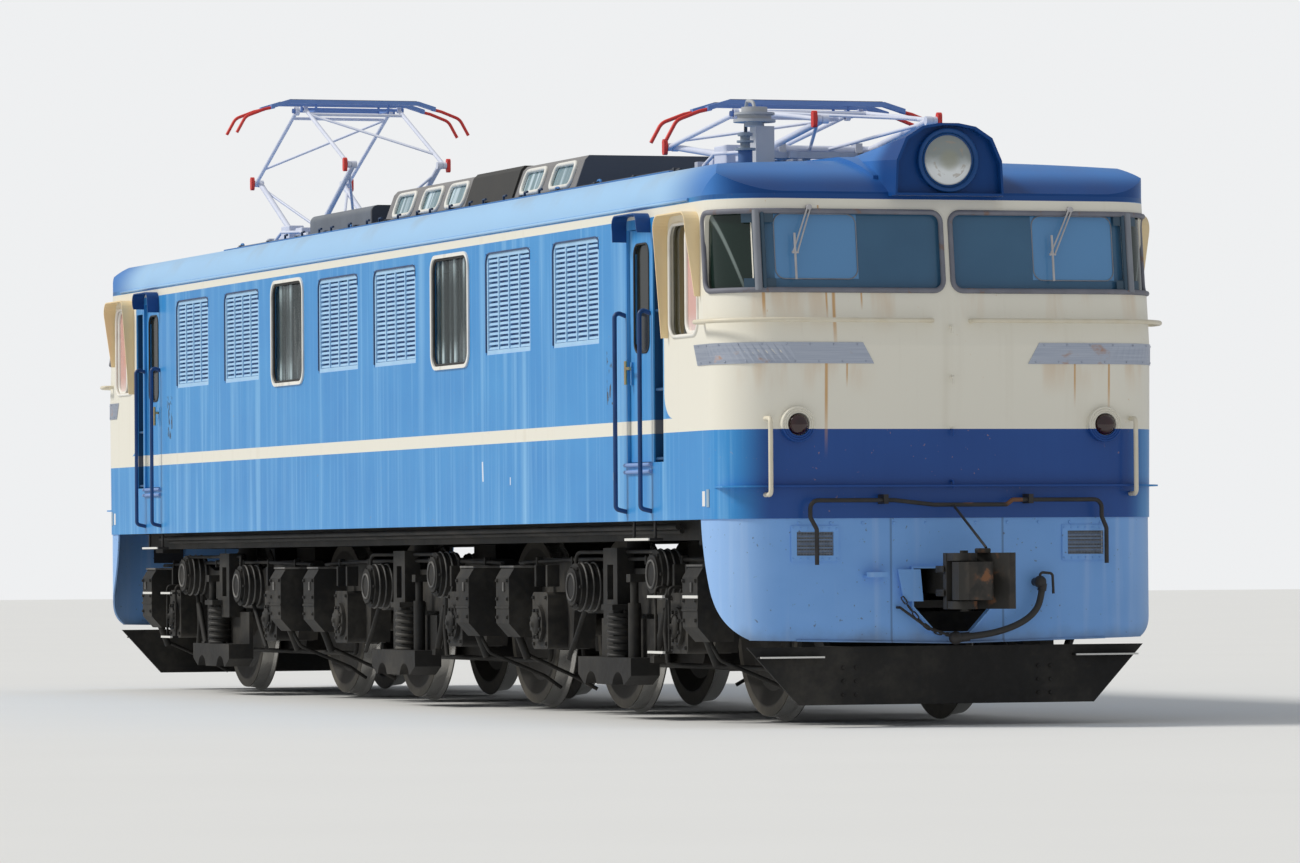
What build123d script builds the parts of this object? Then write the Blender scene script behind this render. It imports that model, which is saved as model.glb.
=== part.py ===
from build123d import *
import os
from math import acos, cos, degrees, radians, sin, sqrt

os.makedirs("parts", exist_ok=True)

# Six-axle electric locomotive. Millimetres, +X towards the front, +Z up.
# The origin is at the bottom centre, on the level of the wheel flange tips.

# Wheels and track
FLANGE_DEPTH = 28
RAIL_TOP = FLANGE_DEPTH
WHEEL_R = 560
BACK_TO_BACK = 990
TYRE_WIDTH = 125
TYRE_THICK = 70
WEB_THICK = 28
AXLE_R = 90
JOURNAL_R = 65
RUN_GAP = 0.4
AXLE_Z = RAIL_TOP + WHEEL_R

# Bogies
WHEELBASE = 2800
BOGIE_CENTRES = {"rear": -4700, "middle": 0, "front": 4700}
FRAME_HALF = 2250
FRAME_Y = 985
FRAME_THICK = 150
FRAME_TOP = RAIL_TOP + 985
FRAME_LOW = RAIL_TOP + 690
BOX_SIZE = 330
CENTRE_PIN_R = 100
BEARER_R = 70
BOX_OUT = 1190

# Body
SILL_Z = RAIL_TOP + 1205
BELT_Z = RAIL_TOP + 2230
EAVES_Z = RAIL_TOP + 3130
ROOF_TOP_Z = RAIL_TOP + 3365
BODY_WIDTH = 2800
HALF = BODY_WIDTH / 2
WALL = 60
CAB_FACE = 7660
CAB_BACK = 5450
FACE_TUCK = 25
FACE_LEAN = 110
CORNER_R = 380
SHOULDER_R = 220
SHOULDER_ANGLE = 62
ROOF_WALL = 45
DOME_LENGTH = 1000
DOME_LIP = 20
DECK_THICK = 60
SEAM = 0.3
HATCH_HALF = 950
HATCH_PROUD = 15
ROOT = 6

# Openings in the body side: name, rear edge, front edge of each, for the front half
LOUVRE_X = [(204, 1210), (2830, 3790), (4270, 5210)]
LOUVRE_Z = (RAIL_TOP + 2315, RAIL_TOP + 2980)
LOUVRE_SLATS = 19
LOUVRE_COLUMNS = 4
WINDOW_X = (1610, 2440)
WINDOW_Z = (RAIL_TOP + 2270, RAIL_TOP + 3000)
WINDOW_R = 90
FRAME_PROUD = 12
GLASS = 8
GLASS_IN = 26

# Cab openings
SCREEN_Z = (RAIL_TOP + 2557, RAIL_TOP + 3022)
SCREEN_Y = (32, 1148)
QUARTER_Y = 1204
QUARTER_X = 7235
CAB_WINDOW_X = (6580, 7110)
CAB_WINDOW_Z = (RAIL_TOP + 2305, RAIL_TOP + 2985)
DOOR_X = (5760, 6222)
DOOR_Z = (RAIL_TOP + 1560, RAIL_TOP + 2990)
DOOR_GAP = 5
DOOR_INSET = 20
DOOR_THICK = 35
HINGE_R = 8
HINGE_OUT = 22
NICHE_X = (6264, 6450)
NICHE_Z = (RAIL_TOP + 1560, RAIL_TOP + 2920)
NICHE_DEPTH = 100
NICHE_SKIN = 12
HOOD_OUT = 95
HOOD_SKIN = 8

# Front end
LAMP_Z = RAIL_TOP + 3332
LAMP_R = 175
LAMP_FACE = 7600
TAIL_Y = 975
TAIL_Z = RAIL_TOP + 1760
LEDGE_Z = RAIL_TOP + 1390
COUPLER_TIP = 8250
COUPLER_Z = RAIL_TOP + 830
COUPLER_PIN_X = 7150
KNUCKLE_PIN = (-125, -110)
HEAD_H, KNUCKLE_H = 165, 112
SKIRT_LOW = RAIL_TOP + 460
SKIRT_CORNER = RAIL_TOP + 490
SKIRT_THICK = 12
SKIRT_INSET = 8

# Pantographs
PAN_X = {"front": 5000, "rear": -5300}
PAN_BASE_Z = RAIL_TOP + 3530
PAN_BASE_HALF = 380
PAN_APEX_HALF = 120
LOWER_ARM = 1050
UPPER_ARM = 1310
PAN_REST = {"front": 6.5, "rear": 25.0}
TUBE_LOWER = 24
TUBE_UPPER = 15
PIN_R = 11
KNEE_Y = 340
HEAD_PIVOT_TO_TOP = 68
HEAD_HALF = 930


def block(x, y, z):
    """A box from three ranges."""
    return Pos((x[0] + x[1]) / 2, (y[0] + y[1]) / 2, (z[0] + z[1]) / 2) * Box(
        x[1] - x[0], y[1] - y[0], z[1] - z[0])


def along(axis, points, low, high):
    """A prism along X, Y or Z from its outline, given in the other two axes."""
    to3d = {"X": lambda a, b: (low, a, b), "Y": lambda a, b: (a, low, b),
            "Z": lambda a, b: (a, b, low)}[axis]
    way = {"X": (1, 0, 0), "Y": (0, 1, 0), "Z": (0, 0, 1)}[axis]
    face = make_face(Polyline([to3d(*p) for p in points], close=True))
    return extrude(face, amount=high - low, dir=way)


def soft_block(x, y, z, axis, r):
    """A box with its edges along one axis rounded."""
    body = block(x, y, z)
    return fillet(body.edges().filter_by(axis), r)


def rod(p, q, r):
    """A round bar from p to q."""
    p, q = Vector(*p), Vector(*q)
    return Plane(origin=(p + q) * 0.5, z_dir=q - p) * Cylinder(r, (q - p).length)


def bent_rod(points, r, bend):
    """A round bar along straight runs joined by arcs of one radius, or of a list of radii."""
    path = FilletPolyline(*points, radius=bend)
    return sweep(Plane(origin=path @ 0, z_dir=path % 0) * Circle(r), path=path)


def both_sides(shape):
    return [shape, mirror(shape, about=Plane.XZ)]


def turned(shape):
    """The same shape at the other end of the locomotive."""
    return Rot(0, 0, 180) * shape


def save(name, *shapes):
    solids = []
    for shape in shapes:
        for item in (shape if isinstance(shape, (list, tuple)) else [shape]):
            solids.extend(item.solids())
    export_step(Compound(children=solids), os.path.join("parts", name + ".step"))


# Cab shells
def cab_plan(inset, x_face, z):
    """Plan outline of the cab at one height: open square at the back, round at the face."""
    half, face, r = HALF - inset, x_face - inset, CORNER_R - inset
    mid = r * (1 - sqrt(0.5))
    lines = [
        Line((CAB_BACK, -half, z), (face - r, -half, z)),
        ThreePointArc((face - r, -half, z), (face - mid, -half + mid, z), (face, -half + r, z)),
        Line((face, -half + r, z), (face, half - r, z)),
        ThreePointArc((face, half - r, z), (face - mid, half - mid, z), (face - r, half, z)),
        Line((face - r, half, z), (CAB_BACK, half, z)),
        Line((CAB_BACK, half, z), (CAB_BACK, -half, z)),
    ]
    return make_face(lines)


FACE_AT_EAVES = CAB_FACE - FACE_LEAN


def cab_form(inset):
    """The cab's whole outer form, in by inset: tucked in at the sill, leaning back above."""
    return loft([cab_plan(inset, CAB_FACE - FACE_TUCK, SILL_Z),
                 cab_plan(inset, CAB_FACE, BELT_Z),
                 cab_plan(inset, FACE_AT_EAVES, EAVES_Z)], ruled=True)


def screen_cuts():
    """The front openings: two windscreens and the two quarter lights round the corners."""
    screen = soft_block((CAB_FACE - 300, CAB_FACE + 60), SCREEN_Y, SCREEN_Z, Axis.X, 60)
    quarter = soft_block((QUARTER_X, CAB_FACE + 60), (QUARTER_Y, HALF + 60), SCREEN_Z, Axis.Y, 60)
    return both_sides(screen) + both_sides(quarter)


def side_cuts():
    return both_sides(soft_block(CAB_WINDOW_X, (HALF - 2 * WALL, HALF + WALL), CAB_WINDOW_Z, Axis.Y, 90))


cab_outer, cab_inner = cab_form(0), cab_form(WALL)
niche_back = HALF - NICHE_DEPTH
niche_tray = block((NICHE_X[0] - NICHE_SKIN, NICHE_X[1] + NICHE_SKIN),
                   (niche_back - NICHE_SKIN, HALF - WALL / 2),
                   (NICHE_Z[0] - NICHE_SKIN, NICHE_Z[1] + NICHE_SKIN))
niche_hole = block(NICHE_X, (niche_back, HALF + WALL), NICHE_Z)
door_hole = block(DOOR_X, (HALF - 2 * WALL, HALF + WALL), DOOR_Z)
cab_shell = cab_outer - cab_inner
for tray, hole, doorway in zip(both_sides(niche_tray), both_sides(niche_hole), both_sides(door_hole)):
    cab_shell = cab_shell + tray - hole - doorway
for cut in screen_cuts() + side_cuts():
    cab_shell -= cut


# Three rungs across the niche
def niche_rungs():
    bars = []
    for z in (NICHE_Z[0] + 20, RAIL_TOP + 2000, RAIL_TOP + 2480):
        bars.append(rod((NICHE_X[0] - NICHE_SKIN / 2, HALF - 25, z),
                        (NICHE_X[1] + NICHE_SKIN / 2, HALF - 25, z), 11))
    return bars


for bar in niche_rungs():
    for one in both_sides(bar):
        cab_shell += one

# Hinge brackets with their pins, on the wall's inner face ahead of each doorway
HINGE = (DOOR_X[1], HALF - WALL - HINGE_OUT)
HINGE_Z = [DOOR_Z[0] + 180, DOOR_Z[1] - 180]
EYE_R, EYE_HALF, EAR = 15, 30, 8
for z in HINGE_Z:
    bracket = rod((*HINGE, z - EYE_HALF - EAR - 2), (*HINGE, z + EYE_HALF + EAR + 2), HINGE_R)
    for side_of_eye in (-1, 1):
        ear_z = z + side_of_eye * (EYE_HALF + EAR / 2 + 2)
        bracket += block((HINGE[0] - 10, HINGE[0] + 40), (HINGE[1] - 12, HALF - WALL),
                         (ear_z - EAR / 2, ear_z + EAR / 2))
    for one in both_sides(bracket):
        cab_shell += one
save("cab_shell_front", cab_shell)
save("cab_shell_rear", turned(cab_shell))

# Panes follow the shell's own form, midway in the wall
pane_skin = cab_form(GLASS_IN) - cab_form(GLASS_IN + GLASS)
panes = []
for cut in screen_cuts() + side_cuts():
    panes.append(pane_skin & cut)
save("cab_glass", panes, [turned(p) for p in panes])


# Hoods, frames and rails on the cab
def hood(x, z_top, drop_rear, drop_front, reach):
    """A rain hood: a top sheet with end cheeks, rounded where they meet."""
    outer = block((x[0] - HOOD_SKIN, x[1] + HOOD_SKIN), (HALF, HALF + reach),
                  (z_top - max(drop_rear, drop_front), z_top + HOOD_SKIN))
    top = outer.edges().filter_by(Axis.Y).group_by(Axis.Z)[-1]
    outer = fillet(top, 60)
    inner = block(x, (HALF - 1, HALF + reach + 1), (z_top - 2000, z_top))
    top = inner.edges().filter_by(Axis.Y).group_by(Axis.Z)[-1]
    shell = outer - fillet(top, 60 - HOOD_SKIN)
    step = abs(drop_rear - drop_front)
    if step:
        low = z_top - max(drop_rear, drop_front)
        short = (x[0] - 20, x[0] + 20) if drop_rear < drop_front else (x[1] - 20, x[1] + 20)
        shell -= block(short, (HALF - 1, HALF + reach + 1), (low - 1, low + step))
    return shell


door_hood = hood(DOOR_X, RAIL_TOP + 3070, 190, 240, HOOD_OUT)
window_hood = hood((CAB_WINDOW_X[0] - 30, CAB_WINDOW_X[1] + 30), CAB_WINDOW_Z[1] + 50, 740, 540, HOOD_OUT)
hoods = both_sides(door_hood) + both_sides(window_hood)
save("hoods", hoods, [turned(h) for h in hoods])

RAIL_R = 14
RAIL_OUT = 70


def door_rail(x):
    z0, z1 = RAIL_TOP + 1262, RAIL_TOP + 2495
    rail = bent_rod([(x, HALF - ROOT, z0), (x, HALF + RAIL_OUT, z0 + 18), (x, HALF + RAIL_OUT, z1),
                     (x, HALF - ROOT, z1 - 30)], RAIL_R, 28)
    return rail - cab_outer


rails = both_sides(door_rail(DOOR_X[0] - 30)) + both_sides(door_rail(DOOR_X[1] - 12))


def face_x(z):
    """How far forward the cab face is at one height."""
    if z < BELT_Z:
        return CAB_FACE - FACE_TUCK * (BELT_Z - z) / (BELT_Z - SILL_Z)
    return CAB_FACE - FACE_LEAN * (z - BELT_Z) / (EAVES_Z - BELT_Z)


def end_rail_flat(z, y0):
    """A rail across the face that follows the cab's corner round to the side."""
    x, y = face_x(z) + RAIL_OUT, HALF + RAIL_OUT
    x_end = face_x(z) - CORNER_R - 40
    return bent_rod([(x - RAIL_OUT - ROOT, y0, z), (x, y0, z), (x, y, z), (x_end, y, z), (x_end, HALF - ROOT, z)],
                    RAIL_R, [30, CORNER_R + RAIL_OUT, 30]) - cab_outer


def end_rail_upright(y, z0, z1):
    """An upright rail near the corner, its ends carried back to the curved wall."""
    x, root = face_x(z0) + RAIL_OUT, face_x(z0) - CORNER_R / 2
    return bent_rod([(root, y, z0), (x, y, z0), (x, y, z1), (root, y, z1)], RAIL_R, 30) - cab_outer


rails += both_sides(end_rail_flat(RAIL_TOP + 2375, 130))
rails += both_sides(end_rail_upright(1160, RAIL_TOP + 1345, RAIL_TOP + 1795))
save("handrails", rails, [turned(r) for r in rails])

# Body side walls
side = block((-CAB_BACK, CAB_BACK), (HALF - WALL, HALF), (SILL_Z, EAVES_Z))
holes = []
for x0, x1 in LOUVRE_X:
    for low, high in ((x0, x1), (-x1, -x0)):
        holes.append((low, high))
        side -= block((low, high), (HALF - 2 * WALL, HALF + WALL), LOUVRE_Z)
WINDOWS = [WINDOW_X, (-WINDOW_X[1], -WINDOW_X[0])]
for x0, x1 in WINDOWS:
    side -= soft_block((x0, x1), (HALF - 2 * WALL, HALF + WALL), WINDOW_Z, Axis.Y, WINDOW_R)
save("side_left", side)
save("side_right", mirror(side, about=Plane.XZ))


def louvre(x0, x1):
    """One louvre panel: a frame with ribs, and between its sides tilted slats with a front lip."""
    z0, z1 = LOUVRE_Z
    rim, depth = 30, 40
    back, front = HALF - WALL + 5, HALF - 5
    frame = block((x0, x1), (front - depth, front), (z0, z1)) - block(
        (x0 + rim, x1 - rim), (back - 10, HALF), (z0 + rim, z1 - rim))
    pitch = (z1 - z0 - 2 * rim) / LOUVRE_SLATS
    for i in range(LOUVRE_SLATS):
        z = z0 + rim + pitch * i
        y0, y1 = front - depth, front - 12
        slat = along("X", [(y0, z + pitch * 0.95), (y0, z + pitch * 0.80), (y1, z + pitch * 0.08),
                           (y1 + 6, z + pitch * 0.12), (y1 + 2, z + pitch * 0.62), (y1 - 4, z + pitch * 0.62)],
                     x0 + rim, x1 - rim)
        frame += slat
    columns = (x1 - x0 - 2 * rim) / LOUVRE_COLUMNS
    for i in range(1, LOUVRE_COLUMNS):
        x = x0 + rim + columns * i
        frame += block((x - 9, x + 9), (front - 12, front), (z0 + rim, z1 - rim))
    return frame


panels = [louvre(x0, x1) for x0, x1 in holes]
save("louvres_left", panels)
save("louvres_right", [mirror(p, about=Plane.XZ) for p in panels])


def window_frame(x0, x1, wide=20, lip=4):
    outer = soft_block((x0 - wide, x1 + wide), (HALF, HALF + FRAME_PROUD),
                       (WINDOW_Z[0] - wide, WINDOW_Z[1] + wide), Axis.Y, WINDOW_R + wide)
    return outer - soft_block((x0 + lip, x1 - lip), (HALF - 10, HALF + 30),
                              (WINDOW_Z[0] + lip, WINDOW_Z[1] - lip), Axis.Y, WINDOW_R - lip)


frames = [window_frame(x0, x1) for x0, x1 in WINDOWS]
save("window_frames", frames, [mirror(f, about=Plane.XZ) for f in frames])
side_panes = [soft_block((x0, x1), (HALF - GLASS_IN - GLASS, HALF - GLASS_IN), WINDOW_Z, Axis.Y,
                         WINDOW_R) for x0, x1 in WINDOWS]

# Roofs


def roof_section(inset, x):
    """Cross section of the roof: round shoulders and one flat arc between them."""
    half, r = HALF - inset, SHOULDER_R - inset
    centre = half - r
    a, b = radians(SHOULDER_ANGLE), radians(SHOULDER_ANGLE / 2)
    end, mid = (centre + r * cos(a), EAVES_Z + r * sin(a)), (centre + r * cos(b), EAVES_Z + r * sin(b))
    lines = [
        ThreePointArc((x, half, EAVES_Z), (x, mid[0], mid[1]), (x, end[0], end[1])),
        ThreePointArc((x, end[0], end[1]), (x, 0, ROOF_TOP_Z - inset), (x, -end[0], end[1])),
        ThreePointArc((x, -end[0], end[1]), (x, -mid[0], mid[1]), (x, -half, EAVES_Z)),
        Line((x, -half, EAVES_Z), (x, half, EAVES_Z)),
    ]
    return make_face(lines)


def roof_prism(inset, x0, x1):
    return extrude(roof_section(inset, x0), amount=x1 - x0, dir=(1, 0, 0))


HATCH_TOP = ROOF_TOP_Z + HATCH_PROUD
hatches = block((-CAB_BACK + 60, CAB_BACK - 60), (-HATCH_HALF, HATCH_HALF), (ROOF_TOP_Z - 60, HATCH_TOP))
roof_outer = roof_prism(0, -CAB_BACK, CAB_BACK) + hatches
roof_main = roof_outer - roof_prism(ROOF_WALL, -CAB_BACK - 1, CAB_BACK + 1)
save("roof_main", roof_main)


def dome_form(inset):
    """The cab roof's form: the roof section, cut by the dome's side view and the cab's plan."""
    x_e = FACE_AT_EAVES - inset + DOME_LIP
    top = ROOF_TOP_Z - inset
    side_view = make_face([
        Line((CAB_BACK, -HALF, EAVES_Z), (x_e, -HALF, EAVES_Z)),
        ThreePointArc((x_e, -HALF, EAVES_Z),
                      (x_e - DOME_LENGTH * 0.3, -HALF, EAVES_Z + (top - EAVES_Z) * 0.66),
                      (x_e - DOME_LENGTH, -HALF, top + 1)),
        Line((x_e - DOME_LENGTH, -HALF, top + 1), (CAB_BACK, -HALF, top + 1)),
        Line((CAB_BACK, -HALF, top + 1), (CAB_BACK, -HALF, EAVES_Z)),
    ])
    side_view = extrude(side_view, amount=2 * HALF, dir=(0, 1, 0))
    plan = extrude(cab_plan(inset, FACE_AT_EAVES, EAVES_Z), amount=500, dir=(0, 0, 1))
    return roof_prism(inset, CAB_BACK, CAB_FACE) & side_view & plan


dome_outer = dome_form(0)
# A raised plate along the middle of the cab roof, narrowing towards the headlamp
PLATE_PROUD = 22
roof_plate = along("Z", [(CAB_BACK, -660), (6070, -660), (7400, -390), (7400, 390), (6070, 660), (CAB_BACK, 660)],
                   EAVES_Z, ROOF_TOP_Z + 100) & dome_form(-PLATE_PROUD)
dome_top = dome_outer + roof_plate
cab_roof = dome_top - dome_form(ROOF_WALL)

# Headlamp housings: an arched cowl that runs out on the roof behind, its front set back inside a rim
HOUSING_BACK = 6750
HOUSING_FRONT = 7655
COWL_SKIN = 14
# Half width and height over the rail of the arch's corners, at the front and where it runs out
ARCH_FRONT = [(345, 3120), (335, 3330), (275, 3465), (170, 3532), (60, 3552)]
ARCH_BACK = [(420, 3100), (400, 3360), (330, 3378), (200, 3396), (70, 3402)]


def arch(x, corners, inset=0):
    half = [(y - inset, RAIL_TOP + z - inset) for y, z in corners]
    half[0] = (half[0][0], half[0][1] + 2 * inset)
    return make_face(Polyline([(x, -y, z) for y, z in half] + [(x, y, z) for y, z in reversed(half)], close=True))


housing = loft([arch(HOUSING_BACK, ARCH_BACK), arch(HOUSING_FRONT, ARCH_FRONT)], ruled=True)
housing -= extrude(arch(LAMP_FACE, ARCH_FRONT, COWL_SKIN), amount=HOUSING_FRONT - LAMP_FACE + 10, dir=(1, 0, 0))
housing = housing - dome_top - cab_outer
housing = max(housing.solids(), key=lambda s: s.volume)
lamp_ring = Plane(origin=(LAMP_FACE, 0, LAMP_Z), z_dir=(1, 0, 0)) * (
    Pos(0, 0, 15) * (Cylinder(LAMP_R + 15, 30) - Cylinder(LAMP_R - 15, 31)))
lamp_housing = housing + lamp_ring
save("cab_roofs", cab_roof + lamp_housing, turned(cab_roof + lamp_housing))
lens = Plane(origin=(LAMP_FACE, 0, LAMP_Z), z_dir=(1, 0, 0)) * (Pos(0, 0, 10) * Cylinder(LAMP_R - 15, 20))


def tail_lamp(y):
    x = face_x(TAIL_Z)
    ring = Cylinder(105, 40) - Pos(0, 0, 12) * Cylinder(66, 40)
    return Plane(origin=(x - 6, y, TAIL_Z), z_dir=(1, 0, 0)) * (Pos(0, 0, 20) * ring)


def tail_lens(y):
    x = face_x(TAIL_Z)
    return Plane(origin=(x - 6, y, TAIL_Z), z_dir=(1, 0, 0)) * (Pos(0, 0, 22) * Cylinder(66, 20))


tails = [tail_lamp(TAIL_Y) - cab_outer, tail_lamp(-TAIL_Y) - cab_outer]
lenses = [lens, tail_lens(TAIL_Y) - cab_outer, tail_lens(-TAIL_Y) - cab_outer]
save("lamp_lenses", lenses, [turned(t) for t in lenses])

# Monitor and roof gear
MONITOR_X = (-1970, 2530)
MONITOR_HALF = (700, 610)
MONITOR_TOP = RAIL_TOP + 3658
MONITOR_SKIN = 20
MONITOR_WINDOWS = [(-1780, -1330), (-1110, -660), (-480, -50), (1290, 1740), (1940, 2390)]
MONITOR_WINDOW_Z = (RAIL_TOP + 3462, RAIL_TOP + 3618)
RELAY_X = (40, 1140)
REAR_BOX_X = (-4080, -2410)
REAR_BOX_HALF = 650
REAR_BOX_LOW = RAIL_TOP + 3440
REAR_BOX_TOP = RAIL_TOP + 3585


def monitor_form(x, out, top):
    """The monitor's body with its sides leaning in, from the hatch covers up."""
    low, high = MONITOR_HALF
    return along("X", [(-low - out, HATCH_TOP), (low + out, HATCH_TOP), (high + out, top - 30),
                       (high + out - 30, top), (-high - out + 30, top), (-high - out, top - 30)], *x)


monitor = monitor_form(MONITOR_X, 0, MONITOR_TOP)
monitor -= along("X", [(-MONITOR_HALF[0] + MONITOR_SKIN, HATCH_TOP - 1), (MONITOR_HALF[0] - MONITOR_SKIN, HATCH_TOP - 1),
                       (MONITOR_HALF[1] - MONITOR_SKIN, MONITOR_TOP - MONITOR_SKIN - 20),
                       (-MONITOR_HALF[1] + MONITOR_SKIN, MONITOR_TOP - MONITOR_SKIN - 20)],
                 MONITOR_X[0] + MONITOR_SKIN, MONITOR_X[1] - MONITOR_SKIN)
monitor_panes = []
pane_sheet = monitor_form(MONITOR_X, -6, MONITOR_TOP) - monitor_form(MONITOR_X, -14, MONITOR_TOP)
for x in MONITOR_WINDOWS:
    hole = soft_block(x, (-MONITOR_HALF[0], MONITOR_HALF[0]), MONITOR_WINDOW_Z, Axis.Y, 50)
    monitor -= hole
    monitor_panes += [s for s in (pane_sheet & hole).solids()]
save("roof_monitor", monitor)
save("side_glass", side_panes, [mirror(p, about=Plane.XZ) for p in side_panes], monitor_panes)

relay = monitor_form(RELAY_X, 12, MONITOR_TOP + 10) - monitor_form(MONITOR_X, 0, MONITOR_TOP)
relay += Pos(sum(RELAY_X) / 2, 0, MONITOR_TOP + 10 + 34) * (Rot(90, 0, 0) * Torus(28, 8))
rear_box = block(REAR_BOX_X, (-REAR_BOX_HALF, REAR_BOX_HALF), (REAR_BOX_LOW, REAR_BOX_TOP))
rear_box = fillet(rear_box.edges().filter_by(Axis.X).group_by(Axis.Z)[-1], 50)
for x in (-3900, -3240, -2590):
    rear_box += block((x - 30, x + 30), (-REAR_BOX_HALF + 10, REAR_BOX_HALF - 10), (HATCH_TOP, REAR_BOX_LOW + 5))
ARRESTER = (6100, -680)
# Lightning arrester: its box, then discs as half width and height above the rail
arrester = block((ARRESTER[0] - 55, ARRESTER[0] + 55), (ARRESTER[1] - 10, ARRESTER[1] + 110),
                 (RAIL_TOP + 3330, RAIL_TOP + 3620)) - dome_top
for r, low, high in [(60, 3620, 3645), (130, 3645, 3662), (105, 3662, 3690), (125, 3690, 3704), (80, 3704, 3738)]:
    arrester += Pos(*ARRESTER, RAIL_TOP + (low + high) / 2) * Cylinder(r, high - low)
WHISTLE = (6440, -860)
whistle = Pos(*WHISTLE, RAIL_TOP + 3330) * Cylinder(44, 240) - dome_top
whistle = max(whistle.solids(), key=lambda s: s.volume)
for r, low, high in [(64, 3450, 3464), (30, 3464, 3560), (52, 3498, 3510), (46, 3538, 3556)]:
    whistle += Pos(*WHISTLE, RAIL_TOP + (low + high) / 2) * Cylinder(r, high - low)
save("roof_fittings", relay, rear_box, arrester, whistle)

# Underframe, bulkheads and inside
deck = extrude(cab_plan(WALL, CAB_FACE - FACE_TUCK, SILL_Z), amount=DECK_THICK, dir=(0, 0, 1))
deck = deck + turned(deck) + block((-CAB_BACK, CAB_BACK), (-HALF + WALL, HALF - WALL),
                                   (SILL_Z, SILL_Z + DECK_THICK))
deck &= cab_form(WALL) + turned(cab_form(WALL)) + block((-CAB_BACK, CAB_BACK), (-HALF, HALF), (SILL_Z, EAVES_Z))
save("deck", deck)

# Sills with jacking pads, the bogies' centre pins and the draft gear pockets, all under the deck
MEMBER_DEPTH = 120
MEMBER_LOW = SILL_Z - MEMBER_DEPTH
MEMBER_HALF = 100
MEMBER_X = (-6600, -4700, -2840, 0, 2840, 4700, 6600)
SILL_Y = (HALF - 320, HALF - 240)
PAD_HALF, PAD_DEPTH = 110, 30
POCKET_X = (6700, 7420)
POCKET_Z = (COUPLER_Z - 160, COUPLER_Z - 115, COUPLER_Z + 115)
sill = block((-7000, 7000), SILL_Y, (MEMBER_LOW, SILL_Z))
for x in (MEMBER_X[0], MEMBER_X[-1]):
    sill += block((x - PAD_HALF, x + PAD_HALF), (SILL_Y[0] - 30, SILL_Y[1] + 30), (MEMBER_LOW - PAD_DEPTH, MEMBER_LOW))
pins = [rod((x, 0, RAIL_TOP + 700), (x, 0, MEMBER_LOW), CENTRE_PIN_R) for x in BOGIE_CENTRES.values()]
pocket = block(POCKET_X, (-220, 220), (POCKET_Z[0], SILL_Z)) - block(
    (POCKET_X[0] + 100, POCKET_X[1] + 10), (-160, 160), POCKET_Z[1:])
pocket += rod((COUPLER_PIN_X, 0, POCKET_Z[1] - 25), (COUPLER_PIN_X, 0, POCKET_Z[2] + 25), 34)
save("underframe", both_sides(sill), pins, pocket, turned(pocket))
members = [block((x - MEMBER_HALF, x + MEMBER_HALF), (-SILL_Y[0], SILL_Y[0]), (MEMBER_LOW, SILL_Z)) for x in MEMBER_X]
# Air ducts down to each motor
DUCT_AT, DUCT_HALF, DUCT_LOW = 700, (260, 330), RAIL_TOP + 880
for centre in BOGIE_CENTRES.values():
    for x in (centre - DUCT_AT, centre + DUCT_AT):
        members.append(block((x - DUCT_HALF[0], x + DUCT_HALF[0]), (-DUCT_HALF[1], DUCT_HALF[1]), (DUCT_LOW, SILL_Z)))
save("cross_members", members)

FLOOR_Z = SILL_Z + DECK_THICK
bulkhead = block((CAB_BACK - 50, CAB_BACK), (-HALF + WALL, HALF - WALL), (FLOOR_Z, EAVES_Z))
save("bulkheads", bulkhead, turned(bulkhead))
save("machine_block", block((-4900, 4900), (-700, 700), (FLOOR_Z, RAIL_TOP + 3000)))

desk = along("Y", [(7090, FLOOR_Z), (7400, FLOOR_Z), (7440, FLOOR_Z + 760), (7440, FLOOR_Z + 900),
                   (7000, FLOOR_Z + 780), (7000, FLOOR_Z + 740), (7150, FLOOR_Z + 720)], 150, 1050)
seat = block((6500, 6560), (480, 820), (FLOOR_Z, FLOOR_Z + 430)) + soft_block(
    (6420, 6880), (430, 870), (FLOOR_Z + 430, FLOOR_Z + 510), Axis.Z, 40) + soft_block(
    (6400, 6460), (430, 870), (FLOOR_Z + 430, FLOOR_Z + 1000), Axis.X, 60)
save("cab_interior", desk, seat, turned(desk), turned(seat))


# Cab doors
door_y = (HALF - DOOR_INSET - DOOR_THICK, HALF - DOOR_INSET)
leaf = block((DOOR_X[0] + 2 * DOOR_GAP, DOOR_X[1] - DOOR_GAP), door_y,
             (DOOR_Z[0] + DOOR_GAP, DOOR_Z[1] - DOOR_GAP))
pane_y = (door_y[0] + 12, door_y[0] + 12 + GLASS)
for y in ((pane_y[1], door_y[1] + 1), (door_y[0] - 1, pane_y[0])):
    leaf -= soft_block((DOOR_X[0] + 90, DOOR_X[1] - 85), y, (DOOR_Z[1] - 760, DOOR_Z[1] - 90),
                       Axis.Y, 70)
leaf += block((DOOR_X[0] + 35, DOOR_X[0] + 60), (door_y[1], door_y[1] + 12),
              (RAIL_TOP + 2040, RAIL_TOP + 2180))
leaf += bent_rod([(DOOR_X[0] + 47, door_y[1] + 10, RAIL_TOP + 2140),
                  (DOOR_X[0] + 47, door_y[1] + 42, RAIL_TOP + 2140),
                  (DOOR_X[0] + 130, door_y[1] + 42, RAIL_TOP + 2140)], 8, 12)
for z in HINGE_Z:
    eye = Pos(*HINGE, z) * Cylinder(EYE_R, 2 * EYE_HALF)
    eye += block((HINGE[0] - 30, HINGE[0] - DOOR_GAP), (HINGE[1] - EYE_R + 4, door_y[0]),
                 (z - EYE_HALF, z + EYE_HALF))
    leaf += eye
for z in HINGE_Z:
    leaf -= Pos(*HINGE, z) * Cylinder(HINGE_R + RUN_GAP, 2 * EYE_HALF + 2)
leaf_right = mirror(leaf, about=Plane.XZ)
save("door_front_left", leaf)
save("door_front_right", leaf_right)
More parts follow.
